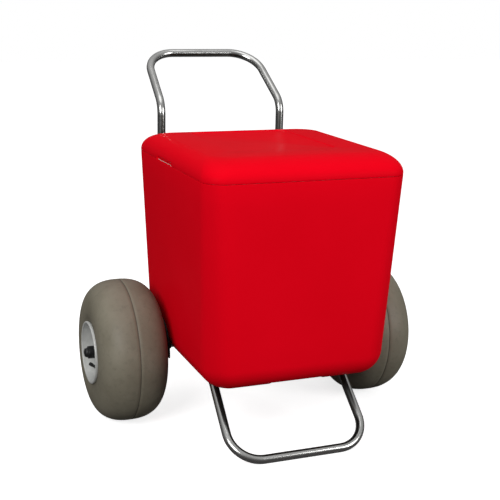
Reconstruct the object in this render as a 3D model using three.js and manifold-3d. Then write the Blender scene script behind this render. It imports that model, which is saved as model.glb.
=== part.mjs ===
// A beach cooler on a two-wheeled tube frame: an insulated box with a hinged lid, balloon wheels on a
// through axle, a bent handle behind the lid and a bent foot loop in front that the cart stands on.
// Millimetres. +Z is up, +Y points to the back (the handle side) and +X to the right seen from the front.
// The origin is on the ground, straight under the middle of the axle.
import * as THREE from 'three';
import { mergeVertices } from 'three/addons/utils/BufferGeometryUtils.js';
import Module from 'manifold-3d';

const wasm = await Module();
wasm.setup();

const gap = 0.3; // between two pieces that touch
const slide = 0.4; // between faces that turn or slide past each other
const cutOver = 1; // how far a cutting form runs past the face it cuts

// Wheels. Both turn on one axle.
const wheelRadius = 210;
const wheelStandOff = 103; // wheel's middle outside the tub's side at the rim
const wheelSides = 24;
const tyreHalfWidth = 100;
const tyreWaistRadius = 112; // radius where the balloon is widest
const tyreWall = 7;
const tyreFullness = 0.8; // under 1 squares the section up
const tyreSteps = 8;
const tyreInnerSteps = 4;
const beadClear = 3; // from the rim's lip to the bead's heel
const beadWidth = 24;
const beadThickness = 8;
const beadFlare = 5; // where the side wall leaves the bead
const rimSheet = 3;
const rimLipRadius = 92;
const rimLipX = 102; // outer face of the rolled lip, from the wheel's middle
const rimLipRoll = 8;
const rimSeatRadius = 88; // outside of the seat, under the lip
const rimDrumRadius = 81; // outside of the drum between the seats
const rimWebX = 40; // outer face of the web, from the wheel's middle
const rimDrumX = 47; // where the seat runs into the drum
const rimEase = 2; // chamfer on the rolled lip
const rimWebFillet = 9; // where the web runs into the drum
const hubRadius = 22;
const hubBoreRadius = 14;
const hubHalfLength = 74;
const hubFlangeRadius = 40;
const hubFlangeThickness = 5;
const hubSides = 14;
const bushFlangeRadius = 20;
const bushFlangeThickness = 3;
const bushLength = 30;
const valveRadius = 4;
const valveLength = 42;
const valveTail = 7; // inside the tyre
const valveCapRadius = 5.2;
const valveCapLength = 12;
const valveCapEase = 1;
const valveSeatX = 62; // where the valve passes through the rim seat
const valveAngle = -120; // degrees about the axle, from the wheel's own +Y

// Axle and what holds it.
const axleRadius = 10;
const axleSides = 12;
const axleOverhang = 86; // past the wheel's middle
const washerThickness = 2.4;
const washerRadius = 19;
const capRadius = 19;
const capTipRadius = 13;
const capEndX = 113; // tip of the cap, from the wheel's middle
const capDomeHeight = 3;
const capDomeReach = 5;
const capTipHeight = 8;
const capTipFlare = 2;
const axlePlateInset = 15.4; // inner face of the round side plate, in from the tub's side at the rim
const axlePlateRadius = 97;
const axlePlateThickness = 4;
const axlePlateBossRadius = 16;
const axlePlateFilletReach = 8;
const axlePlateFilletHeight = 6;
const axlePlateSpigotRadius = 13.5;
const axlePlateSpigotLength = 30;
const axleBlockWidth = 34;
const axleToRail = 3; // metal left between the axle's bore and the rail's bore

// Tub.
const tubWidth = 574;
const tubLength = 646;
const tubHeight = 572;
const floorUnderAxle = 9.2; // the underside below the axle's middle
const axleToBack = 196; // from the axle to the tub's back at the rim
const tubDraft = 20; // each side draws in this much from rim to floor
const tubCornerRim = 57;
const tubCornerFloor = 82;
const tubEdgeRadius = 66; // round under the floor's edge
const tubWall = 4;
const linerWall = 3;
const insulation = 41;
const cavityFloorRise = 63; // above the underside
const keelRecess = 13; // the underside is raised this much between its two pads
const keelRecessHalfWidth = 82;
const axleChannelHalfWidth = 18;
const axleChannelClear = 4.5;
const cornerSteps = 4;
const edgeSteps = 5;

// Lid.
const lidGap = 2;
const lidRimHeight = 3.5;
const lidRise = 50;
const lidShoulder = 94; // how far the rounded shoulder reaches in from the front and back edges
const lidShoulderSide = 50; // and from the side edges
const lidWall = 3.5;
const lidShoulderSteps = 5;
const lidFlange = 5;
const lidPlugDrop = 15;
const lidPlugClear = 3;
const lidCornerLeast = 3;
const lidPanelSideInset = 132; // from the lid's edges to the panel
const lidPanelFrontInset = 175;
const lidPanelBackInset = 92;
const lidPanelDepth = 3;
const lidPanelCorner = 26;
const lidPanelSlope = 4;
const gripHalfLength = 70;
const gripRadius = 10;
const gripStandOff = 3.5;
const gripBehindMiddle = 45; // grips' middle behind the tub's middle
const gasketInset = 18;
const gasketWidth = 14;

// Hinges, on the back between the handle tubes.
const hingeX = 112;
const hingeHalfLength = 30;
const hingeKnuckleRadius = 6;
const hingePinRadius = 2.5;
const hingePinProud = 1;
const hingeLeaf = 2.5;
const hingeStandOff = 7.5; // axis behind the tub's back
const hingeBodyDrop = 36;
const hingeLidReach = 30;
const hingeKnuckleHalf = 10.5;
const hingeSides = 12;

// Tube frame.
const tubeRadius = 12.5;
const tubeWall = 1.5;
const tubeSides = 10;
const boreSides = 8;
const bendStep = THREE.MathUtils.degToRad(22.5);
const frameInset = 91; // tubes' centrelines in from the tub's sides at the rim
const handleStandOff = 43; // upright's centreline behind the tub's back at the rim
const handleKneeRise = 124; // above the tub's rim
const handleBarRise = 264;
const handleBarReach = 256; // behind the tub's back
const handleBend = 94;
const handleTaper = 12; // the bar's corners stand this far in from the uprights
const handleKneeBend = 60;
const footBarReach = 2; // in front of the tub
const footBend = 87;
const footFlare = 7.5; // the bar's corners stand this far out from the rails
const footKneeInset = 201; // behind the tub's front
const footKneeBend = 60;
const railBend = 80;
const uprightJointDrop = 211; // under the tub's rim
const railJointInset = 310; // behind the tub's front
const sleeveLength = 90;
const sleeveWall = 2;

// Clamps that tie the frame to the tub.
const clampWall = 3.5;
const clampLength = 26;
const clampFoot = 42; // reach of the foot towards the middle
const clampArcSteps = 6;
const backClampDrop = [116, 371]; // under the tub's rim
const baseClampFrontInset = 255; // behind the tub's front
const baseClampBackInset = 91; // in front of the tub's back

// Drain, low in the middle of the back.
const drainRise = 20; // above the cavity's floor
const drainRadius = 12;
const drainBoreRadius = 9;
const drainFlangeRadius = 20;
const drainFlangeThickness = 4;
const drainPlugLength = 34;
const drainPlugLead = 4; // length of the tapered tip
const drainPlugTaper = 1;
const drainHeadRadius = 17;
const drainHeadEase = 2;
const drainHeadThickness = 9;

// Worked out from the sizes above.
const axleZ = wheelRadius * Math.cos(Math.PI / wheelSides); // the tyre stands on one of its flats
const tubFloorZ = axleZ - floorUnderAxle;
const tubRimZ = tubFloorZ + tubHeight;
const tubBackY = axleToBack;
const tubFrontY = tubBackY - tubLength;
const tubCentreY = tubBackY - tubLength / 2;
const cavityFloorZ = tubFloorZ + cavityFloorRise;
const wheelCentreX = tubWidth / 2 + wheelStandOff;
const axlePlateX = tubWidth / 2 - axlePlateInset;
const frameHalfWidth = tubWidth / 2 - frameInset;
const railZ = axleZ - axleRadius - tubeRadius - axleToRail;
const railJointY = tubFrontY + railJointInset;
const uprightJointZ = tubRimZ - uprightJointDrop;
const uprightY = tubBackY + handleStandOff;
const lidBottomZ = tubRimZ + lidGap;
const lidRimZ = lidBottomZ + lidRimHeight;
const linerInset = tubWall + gap + insulation;
const cavityInset = linerInset + linerWall;
const hingeY = tubBackY + hingeStandOff;
const hingeZ = tubRimZ;
const drainZ = cavityFloorZ + drainRise;

const red = new THREE.MeshStandardMaterial({ color: 0xcf0618, roughness: 0.35, metalness: 0 });
const white = new THREE.MeshStandardMaterial({ color: 0xe9e9e4, roughness: 0.45, metalness: 0 });
const foam = new THREE.MeshStandardMaterial({ color: 0xe6d9a8, roughness: 0.95, metalness: 0 });
const steel = new THREE.MeshStandardMaterial({ color: 0xc4c5c6, roughness: 0.25, metalness: 1 });
const zinc = new THREE.MeshStandardMaterial({ color: 0xa7a9aa, roughness: 0.4, metalness: 1 });
const rimGrey = new THREE.MeshStandardMaterial({ color: 0xb9bbbd, roughness: 0.4, metalness: 0.4 });
const tyreGrey = new THREE.MeshStandardMaterial({ color: 0x7c7666, roughness: 0.6, metalness: 0 });
const black = new THREE.MeshStandardMaterial({ color: 0x141414, roughness: 0.5, metalness: 0 });
const rubber = new THREE.MeshStandardMaterial({ color: 0x1c1c1c, roughness: 0.8, metalness: 0 });

const cart = new THREE.Group();

// Welds a geometry into one closed surface whose faces point out.
function closed(geometry) {
  geometry.deleteAttribute('normal');
  geometry.deleteAttribute('uv');
  geometry.clearGroups();
  const welded = mergeVertices(geometry, 1e-4);
  const corners = welded.index.array;
  const at = welded.attributes.position;
  const kept = [];
  const [a, b, c] = [new THREE.Vector3(), new THREE.Vector3(), new THREE.Vector3()];
  let volume = 0;
  for (let i = 0; i < corners.length; i += 3) {
    const [ia, ib, ic] = [corners[i], corners[i + 1], corners[i + 2]];
    if (ia === ib || ib === ic || ic === ia) continue;
    kept.push(ia, ib, ic);
    a.fromBufferAttribute(at, ia);
    b.fromBufferAttribute(at, ib);
    c.fromBufferAttribute(at, ic);
    volume += a.dot(b.cross(c));
  }
  welded.setIndex(volume < 0 ? kept.reverse() : kept);
  return welded;
}

function toSolid(geometry) {
  const surface = closed(geometry);
  return new wasm.Manifold(new wasm.Mesh({
    numProp: 3,
    vertProperties: Float32Array.from(surface.attributes.position.array),
    triVerts: Uint32Array.from(surface.index.array),
  }));
}

function toGeometry(solid) {
  const { vertProperties, triVerts } = solid.getMesh();
  const geometry = new THREE.BufferGeometry();
  geometry.setAttribute('position', new THREE.BufferAttribute(vertProperties, 3));
  geometry.setIndex(Array.from(triVerts));
  return geometry;
}

function piece(name, geometry, material, parent = cart) {
  const mesh = new THREE.Mesh(closed(geometry), material);
  mesh.geometry.computeVertexNormals();
  mesh.name = name;
  parent.add(mesh);
  return mesh;
}

// A bore with flats: its flats clear a round shaft of the given radius.
function boreFor(radius, sides, clearance = gap) {
  return (radius + clearance) / Math.cos(Math.PI / sides);
}

function polygon(radius, sides, centreX = 0, centreY = 0) {
  return Array.from({ length: sides }, (_, k) => {
    const turn = (k + 0.5) / sides * 2 * Math.PI;
    return new THREE.Vector2(centreX + radius * Math.cos(turn), centreY + radius * Math.sin(turn));
  });
}

// Turns a profile of [radius, place along the axis] points about the X axis.
function turned(profile, sides) {
  const points = profile.map(([radius, along]) => new THREE.Vector2(radius, along));
  if (points[0].x > 0) points.push(points[0].clone());
  const geometry = new THREE.LatheGeometry(points, sides);
  geometry.rotateZ(-Math.PI / 2);
  geometry.rotateX(Math.PI / sides);
  return geometry;
}

function tubeRing(outerRadius, innerRadius, from, to, sides) {
  return turned([[outerRadius, from], [outerRadius, to], [innerRadius, to], [innerRadius, from]], sides);
}

function rod(radius, from, to, sides) {
  return turned([[0, from], [radius, from], [radius, to], [0, to]], sides);
}

function block(low, high) {
  const size = high.map((value, k) => value - low[k]);
  const geometry = new THREE.BoxGeometry(...size);
  return geometry.translate(...low.map((value, k) => value + size[k] / 2));
}

// One rounded rectangle, as a ring of points at height z.
function roundedRing(halfX, halfY, corner, z, centreY = tubCentreY) {
  const ring = [];
  for (let quarter = 0; quarter < 4; quarter++) {
    const signX = quarter === 0 || quarter === 3 ? 1 : -1;
    const signY = quarter < 2 ? 1 : -1;
    for (let k = 0; k <= cornerSteps; k++) {
      const turn = (quarter + k / cornerSteps) * Math.PI / 2;
      const x = signX * (halfX - corner) + corner * Math.cos(turn);
      const y = signY * (halfY - corner) + corner * Math.sin(turn);
      ring.push(new THREE.Vector3(x, centreY + y, z));
    }
  }
  return ring;
}

// Skins a stack of rings. A loop joins the last ring to the first; otherwise both ends are capped.
function loft(rings, loop = false) {
  const count = rings[0].length;
  const index = [];
  const bands = loop ? rings.length : rings.length - 1;
  for (let r = 0; r < bands; r++) {
    const low = r * count;
    const high = (r + 1) % rings.length * count;
    for (let k = 0; k < count; k++) {
      const next = (k + 1) % count;
      index.push(low + k, low + next, high + next, low + k, high + next, high + k);
    }
  }
  if (!loop) {
    const last = (rings.length - 1) * count;
    for (let k = 1; k < count - 1; k++) index.push(0, k + 1, k, last, last + k, last + k + 1);
  }
  const geometry = new THREE.BufferGeometry().setFromPoints(rings.flat());
  geometry.setIndex(index);
  return geometry;
}

// A tube's centreline: straight runs with a round bend at each inner corner. The stations are only
// at the ends and along the bends.
class BentLine extends THREE.Curve {
  constructor(corners) {
    super();
    this.stations = [];
    const heading = (k) => corners[k + 1].at.clone().sub(corners[k].at).normalize();
    this.stations.push({ point: corners[0].at, tangent: heading(0) });
    for (let k = 1; k < corners.length - 1; k++) {
      const arriving = heading(k - 1);
      const leaving = heading(k);
      const { at, bend } = corners[k];
      const angle = arriving.angleTo(leaving);
      const start = at.clone().addScaledVector(arriving, -bend * Math.tan(angle / 2));
      const sideways = leaving.clone().addScaledVector(arriving, -leaving.dot(arriving)).normalize();
      const steps = Math.ceil(angle / bendStep);
      for (let s = 0; s <= steps; s++) {
        const turn = angle * s / steps;
        const point = start.clone().addScaledVector(arriving, bend * Math.sin(turn));
        point.addScaledVector(sideways, bend * (1 - Math.cos(turn)));
        const tangent = arriving.clone().multiplyScalar(Math.cos(turn));
        tangent.addScaledVector(sideways, Math.sin(turn));
        this.stations.push({ point, tangent });
      }
    }
    this.stations.push({ point: corners.at(-1).at, tangent: heading(corners.length - 2) });
  }

  station(u) {
    return this.stations[Math.round(u * (this.stations.length - 1))];
  }

  getPointAt(u, target = new THREE.Vector3()) {
    return target.copy(this.station(u).point);
  }

  getTangentAt(u, target = new THREE.Vector3()) {
    return target.copy(this.station(u).tangent);
  }
}

function bentTube(corners, outerRadius = tubeRadius, wall = tubeWall) {
  const line = new BentLine(corners);
  const section = new THREE.Shape(polygon(outerRadius, tubeSides));
  section.holes.push(new THREE.Path(polygon(outerRadius - wall, boreSides)));
  return new THREE.ExtrudeGeometry(section, { steps: line.stations.length - 1, extrudePath: line });
}

function corner(x, y, z, bend = 0) {
  return { at: new THREE.Vector3(x, y, z), bend };
}

// ---- tub

function tubRing(inset, z) {
  const depth = (tubRimZ - z) / (tubRimZ - tubFloorZ);
  const halfX = tubWidth / 2 - tubDraft * depth - inset;
  const halfY = tubLength / 2 - tubDraft * depth - inset;
  const corners = tubCornerRim + (tubCornerFloor - tubCornerRim) * depth - inset;
  return roundedRing(halfX, halfY, corners, z);
}

// The tub's form, drawn in by an inset all round, from its rounded floor edge up to topZ.
function tubRings(inset, floorZ, topZ) {
  const edge = tubEdgeRadius - inset;
  const rings = [];
  for (let k = 0; k <= edgeSteps; k++) {
    const turn = k / edgeSteps * Math.PI / 2;
    rings.push(tubRing(inset + edge * (1 - Math.sin(turn)), floorZ + edge * (1 - Math.cos(turn))));
  }
  rings.push(tubRing(inset, topZ));
  return rings;
}

// The hollows moulded up into the underside, grown by the wall that covers them.
function undersideHollows(grow) {
  const reach = tubWidth;
  const keelHalf = keelRecessHalfWidth + grow;
  const channelHalf = axleChannelHalfWidth + grow;
  const channelTop = axleZ + axleRadius + axleChannelClear + grow;
  const keelTop = tubFloorZ + keelRecess + grow;
  const keel = block([-keelHalf, -reach, tubFloorZ - reach], [keelHalf, reach, keelTop]);
  const channel = block([-reach, -channelHalf, tubFloorZ - reach], [reach, channelHalf, channelTop]);
  return toSolid(keel).add(toSolid(channel));
}

function backWallY(z) {
  return tubBackY - tubDraft * (tubRimZ - z) / (tubRimZ - tubFloorZ);
}

function drainBore(radius) {
  const bore = rod(radius, backWallY(drainZ) - 2 * cavityInset, tubBackY, hubSides);
  return toSolid(bore.rotateZ(Math.PI / 2).translate(0, 0, drainZ));
}

function addTub() {
  const outside = toSolid(loft(tubRings(0, tubFloorZ, tubRimZ))).subtract(undersideHollows(0));
  const foamTopZ = tubRimZ - linerWall - gap;
  const hollow = (inset) => toSolid(loft(tubRings(inset, tubFloorZ + inset, tubRimZ + cutOver)))
    .subtract(undersideHollows(inset));
  const drain = drainBore(boreFor(drainRadius, hubSides));

  piece('tub_shell', toGeometry(outside.subtract(hollow(tubWall)).subtract(drain)), red);

  const foamForm = toSolid(loft(tubRings(tubWall + gap, tubFloorZ + tubWall + gap, foamTopZ)))
    .subtract(undersideHollows(tubWall + gap));
  const foamCore = toSolid(loft(tubRings(linerInset - gap, cavityFloorZ - linerWall - gap, tubRimZ)));
  piece('tub_foam', toGeometry(foamForm.subtract(foamCore).subtract(drain)), foam);

  const linerRings = [
    ...tubRings(linerInset, cavityFloorZ - linerWall, tubRimZ - linerWall),
    tubRing(tubWall + gap, tubRimZ - linerWall),
    tubRing(tubWall + gap, tubRimZ),
    ...tubRings(cavityInset, cavityFloorZ, tubRimZ).reverse(),
  ];
  piece('tub_liner', toGeometry(toSolid(loft(linerRings)).subtract(drain)), white);
}

// The drain tube through the back wall and the plug pushed into it from behind.
function addDrain() {
  const wallY = backWallY(drainZ + drainFlangeRadius) + gap;
  const innerY = backWallY(drainZ) - cavityInset;
  const bore = boreFor(drainBoreRadius, hubSides, 0);
  const flangeY = wallY + drainFlangeThickness;
  const tube = turned([
    [bore, innerY], [drainRadius, innerY], [drainRadius, wallY], [drainFlangeRadius, wallY],
    [drainFlangeRadius, flangeY], [bore, flangeY],
  ], hubSides);
  piece('drain_tube', tube.rotateZ(Math.PI / 2), white).position.z = drainZ;

  const headY = flangeY + slide;
  const headEndY = headY + drainHeadThickness;
  const tipY = headY - drainPlugLength;
  const shank = drainBoreRadius - slide;
  const plug = turned([
    [0, tipY], [shank - drainPlugTaper, tipY], [shank, tipY + drainPlugLead], [shank, headY],
    [drainHeadRadius, headY], [drainHeadRadius, headEndY - drainHeadEase],
    [drainHeadRadius - drainHeadEase, headEndY], [0, headEndY],
  ], hubSides);
  piece('drain_plug', plug.rotateZ(Math.PI / 2), black).position.z = drainZ;
}

// ---- lid

function lidRing(inset, z) {
  const corners = Math.max(tubCornerRim - inset, lidCornerLeast);
  return roundedRing(tubWidth / 2 - inset, tubLength / 2 - inset, corners, z);
}

// The lid's rounded form, drawn in by an inset, standing on bottomZ.
function lidRings(inset, bottomZ) {
  const rings = [lidRing(inset, bottomZ)];
  for (let k = 0; k <= lidShoulderSteps; k++) {
    const turn = k / lidShoulderSteps * Math.PI / 2;
    const halfX = tubWidth / 2 - inset - lidShoulderSide * (1 - Math.cos(turn));
    const halfY = tubLength / 2 - inset - lidShoulder * (1 - Math.cos(turn));
    rings.push(roundedRing(halfX, halfY, tubCornerRim - inset, lidRimZ + (lidRise - inset) * Math.sin(turn)));
  }
  return rings;
}

// The shallow panel sunk in the lid's top, grown by the wall under it.
function lidPanel(grow) {
  const frontY = tubFrontY + lidPanelFrontInset;
  const backY = tubBackY - lidPanelBackInset;
  const centreY = (frontY + backY) / 2;
  const halfY = (backY - frontY) / 2 + grow;
  const halfX = tubWidth / 2 - lidPanelSideInset + grow;
  const floorZ = lidRimZ + lidRise - lidPanelDepth - grow;
  const topZ = lidRimZ + lidRise;
  const flare = lidPanelSlope / lidPanelDepth * (lidPanelDepth + grow);
  const ring = (out, z) => roundedRing(halfX + out, halfY + out, lidPanelCorner + out, z, centreY);
  return toSolid(loft([
    ring(-lidPanelSlope, floorZ), ring(flare - lidPanelSlope, topZ), ring(flare, topZ + cutOver),
  ]));
}

// The finger grips scooped out under the lid's two side edges.
function lidGrips(grow) {
  const grips = [-1, 1].map((side) => {
    const length = gripHalfLength + grow;
    const scoop = rod(gripRadius + grow, -length, length, axleSides).rotateZ(Math.PI / 2);
    const middleX = side * (tubWidth / 2 + gripStandOff);
    return toSolid(scoop.translate(middleX, tubCentreY + gripBehindMiddle, lidBottomZ));
  });
  return grips[0].add(grips[1]);
}

// The pockets in the lid's underside that take the hinge leaves.
function hingePockets() {
  const top = lidBottomZ + gap + hingeLeaf + gap;
  const reachY = tubBackY - hingeLidReach - gap;
  const pockets = [-1, 1].map((side) => {
    const middle = side * hingeX;
    const half = hingeHalfLength + gap;
    const low = [middle - half, reachY, lidBottomZ - cutOver];
    return toSolid(block(low, [middle + half, tubBackY + cutOver, top]));
  });
  return pockets[0].add(pockets[1]);
}

function addLid() {
  const outside = toSolid(loft(lidRings(0, lidBottomZ))).subtract(lidPanel(0)).subtract(lidGrips(0));
  const inside = toSolid(loft(lidRings(lidWall, lidBottomZ - cutOver)))
    .subtract(lidPanel(lidWall)).subtract(lidGrips(lidWall));
  piece('lid_shell', toGeometry(outside.subtract(inside).subtract(hingePockets())), red);

  const edge = lidWall + gap;
  const plug = cavityInset + lidPlugClear;
  const flangeTopZ = lidBottomZ + lidFlange;
  const linerRings = [
    lidRing(plug, lidBottomZ - lidPlugDrop), lidRing(plug, lidBottomZ),
    lidRing(edge, lidBottomZ), lidRing(edge, flangeTopZ),
    lidRing(plug + linerWall, flangeTopZ), lidRing(plug + linerWall, lidBottomZ - lidPlugDrop + linerWall),
  ];
  const filling = toSolid(loft(lidRings(edge, lidBottomZ - lidPlugDrop - cutOver))).subtract(lidGrips(edge));
  const liner = toSolid(loft(linerRings)).intersect(filling).subtract(hingePockets());
  piece('lid_liner', toGeometry(liner), white);

  const underFlange = toSolid(block([-tubWidth, tubFrontY, 0], [tubWidth, tubBackY, flangeTopZ + gap]));
  const plugFoam = toSolid(loft([
    lidRing(plug + linerWall + gap, lidBottomZ - lidPlugDrop + linerWall + gap),
    lidRing(plug + linerWall + gap, flangeTopZ + lidFlange),
  ]));
  const foamSolid = filling.subtract(underFlange).add(plugFoam).subtract(lidPanel(edge));
  piece('lid_foam', toGeometry(foamSolid), foam);

  const sealLow = tubRimZ + gap;
  const sealHigh = lidBottomZ - gap;
  const sealIn = gasketInset + gasketWidth;
  const seal = [
    lidRing(gasketInset, sealLow), lidRing(gasketInset, sealHigh),
    lidRing(sealIn, sealHigh), lidRing(sealIn, sealLow),
  ];
  piece('lid_gasket', loft(seal, true), rubber);
}

// ---- hinges

function knuckle(from, to) {
  const outer = toSolid(rod(hingeKnuckleRadius, from, to, hingeSides));
  const bore = toSolid(rod(boreFor(hingePinRadius, hingeSides), from - cutOver, to + cutOver, hingeSides));
  return { outer: outer.translate([0, hingeY, hingeZ]), bore: bore.translate([0, hingeY, hingeZ]) };
}

function addHinge(side, name) {
  const middle = side * hingeX;
  const group = new THREE.Group();
  group.position.x = middle;
  cart.add(group);

  const backY = tubBackY + gap;
  const plate = toSolid(block(
    [-hingeHalfLength, backY, hingeZ - hingeBodyDrop],
    [hingeHalfLength, backY + hingeLeaf, hingeZ],
  ));
  const notch = toSolid(block(
    [-hingeKnuckleHalf - slide, backY - cutOver, hingeZ - hingeKnuckleRadius - gap],
    [hingeKnuckleHalf + slide, hingeY + hingeKnuckleRadius, hingeZ + cutOver],
  ));
  const ends = [-1, 1].map((end) => {
    const [from, to] = [hingeKnuckleHalf + slide, hingeHalfLength].map((x) => x * end);
    return knuckle(Math.min(from, to), Math.max(from, to));
  });
  const bodyLeaf = plate.subtract(notch).add(ends[0].outer).add(ends[1].outer)
    .subtract(ends[0].bore).subtract(ends[1].bore);
  piece(`hinge_body_leaf_${name}`, toGeometry(bodyLeaf), zinc, group);

  const leafZ = lidBottomZ + gap;
  const lidPlate = toSolid(block(
    [-hingeHalfLength, tubBackY - hingeLidReach, leafZ],
    [hingeHalfLength, tubBackY - slide, leafZ + hingeLeaf],
  ));
  const neck = toSolid(block(
    [-hingeKnuckleHalf, tubBackY - hingeLeaf, leafZ],
    [hingeKnuckleHalf, hingeY, leafZ + hingeLeaf],
  ));
  const centre = knuckle(-hingeKnuckleHalf, hingeKnuckleHalf);
  const lidLeaf = lidPlate.add(neck).add(centre.outer).subtract(centre.bore);
  piece(`hinge_lid_leaf_${name}`, toGeometry(lidLeaf), zinc, group);

  const pinHalf = hingeHalfLength + hingePinProud;
  const pin = rod(hingePinRadius, -pinHalf, pinHalf, hingeSides);
  piece(`hinge_pin_${name}`, pin, steel, group).position.set(0, hingeY, hingeZ);
}

// ---- wheels

// Outside radius of the rim's tyre seat at a place across the wheel.
function seatRadius(x) {
  const share = (Math.abs(x) - rimDrumX) / (rimLipX - rimLipRoll - rimDrumX);
  return rimDrumRadius + (rimSeatRadius - rimDrumRadius) * share;
}

function balloon(halfWidth, radius, steps) {
  return Array.from({ length: steps + 1 }, (_, k) => {
    const turn = (k / steps - 0.5) * Math.PI;
    const across = Math.sign(turn) * Math.abs(Math.sin(turn)) ** tyreFullness;
    const out = Math.abs(Math.cos(turn)) ** tyreFullness;
    return [tyreWaistRadius + (radius - tyreWaistRadius) * out, halfWidth * across];
  });
}

function tyreProfile() {
  const heelX = rimLipX - rimLipRoll - beadClear;
  const toeX = heelX - beadWidth;
  const bead = (x, lift) => [seatRadius(x) + gap + lift, x];
  const mirror = (points) => points.map(([radius, x]) => [radius, -x]).reverse();
  const flare = [rimLipRadius + beadFlare, heelX + beadFlare];
  const beadSide = [flare, bead(heelX, 0), bead(toeX, 0), bead(toeX, beadThickness)];
  return [
    ...mirror(beadSide),
    ...balloon(tyreHalfWidth, wheelRadius, tyreSteps),
    ...beadSide,
    ...balloon(tyreHalfWidth - tyreWall, wheelRadius - tyreWall, tyreInnerSteps).reverse(),
  ];
}

// One half of the rim, seen from its own outer side: rolled lip, tapered tyre seat and web.
function rimProfile(withDrum) {
  const lipIn = rimLipX - rimLipRoll;
  const bore = boreFor(hubRadius, hubSides);
  const webIn = rimWebX - rimSheet;
  const visible = [
    [bore, rimWebX], [rimDrumRadius - rimWebFillet, rimWebX], [rimDrumRadius - rimSheet, rimDrumX],
    [rimSeatRadius - rimSheet, lipIn], [rimSeatRadius - rimSheet, rimLipX - rimEase],
    [rimSeatRadius - rimSheet + rimEase, rimLipX], [rimLipRadius - rimEase, rimLipX],
    [rimLipRadius, rimLipX - rimEase], [rimLipRadius, lipIn + rimEase], [rimLipRadius - rimEase, lipIn],
    [rimSeatRadius, lipIn], [rimDrumRadius, rimDrumX],
  ];
  const drumEnd = gap - webIn;
  const drum = [
    [rimDrumRadius, drumEnd], [rimDrumRadius - rimSheet, drumEnd],
    [rimDrumRadius - rimSheet, webIn], [bore, webIn],
  ];
  const flatEnd = rimDrumRadius - rimWebFillet + rimSheet;
  return withDrum ? [...visible, ...drum] : [...visible, [flatEnd, webIn], [bore, webIn]];
}

function addWheel(side, name) {
  const wheel = new THREE.Group();
  wheel.position.set(side * wheelCentreX, 0, axleZ);
  wheel.rotation.z = side > 0 ? 0 : Math.PI;
  cart.add(wheel);

  piece(`tyre_${name}`, turned(tyreProfile(), wheelSides), tyreGrey, wheel);

  // The valve comes in through the tyre seat and leans out towards the open side of the rim.
  const valve = turned([
    [0, -valveTail], [valveRadius, -valveTail], [valveRadius, valveLength - valveCapLength],
    [valveCapRadius, valveLength - valveCapLength], [valveCapRadius, valveLength - valveCapEase],
    [0, valveLength],
  ], boreSides);
  const placeValve = (geometry) => geometry.rotateY(-Math.PI / 4)
    .translate(valveSeatX, 0, -rimDrumRadius).rotateX(THREE.MathUtils.degToRad(90 + valveAngle));
  const valveHole = rod(boreFor(valveRadius, boreSides), -valveTail, valveLength / 2, boreSides);
  const rimOuter = toSolid(turned(rimProfile(false), wheelSides)).subtract(toSolid(placeValve(valveHole)));
  piece(`rim_outer_${name}`, toGeometry(rimOuter), rimGrey, wheel);
  piece(`valve_${name}`, placeValve(valve), rubber, wheel);

  piece(`rim_inner_${name}`, turned(rimProfile(true), wheelSides), rimGrey, wheel).rotation.z = Math.PI;

  const flangeIn = rimWebX - rimSheet - gap;
  const hub = turned([
    [hubBoreRadius, -hubHalfLength], [hubRadius, -hubHalfLength],
    [hubRadius, -flangeIn], [hubFlangeRadius, -flangeIn],
    [hubFlangeRadius, -flangeIn + hubFlangeThickness], [hubRadius, -flangeIn + hubFlangeThickness],
    [hubRadius, flangeIn - hubFlangeThickness], [hubFlangeRadius, flangeIn - hubFlangeThickness],
    [hubFlangeRadius, flangeIn], [hubRadius, flangeIn],
    [hubRadius, hubHalfLength], [hubBoreRadius, hubHalfLength],
  ], hubSides);
  piece(`hub_${name}`, hub, zinc, wheel);

  const bushBore = boreFor(axleRadius, hubSides);
  const bushFrom = hubHalfLength - bushLength;
  const bushStop = hubHalfLength + gap;
  const bushEnd = bushStop + bushFlangeThickness;
  for (const [end, place] of [[0, 'outer'], [Math.PI, 'inner']]) {
    const bush = turned([
      [bushBore, bushFrom], [hubBoreRadius - gap, bushFrom], [hubBoreRadius - gap, bushStop],
      [bushFlangeRadius, bushStop], [bushFlangeRadius, bushEnd], [bushBore, bushEnd],
    ], hubSides);
    piece(`bush_${place}_${name}`, bush, black, wheel).rotation.z = end;
  }
}

// ---- axle

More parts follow.
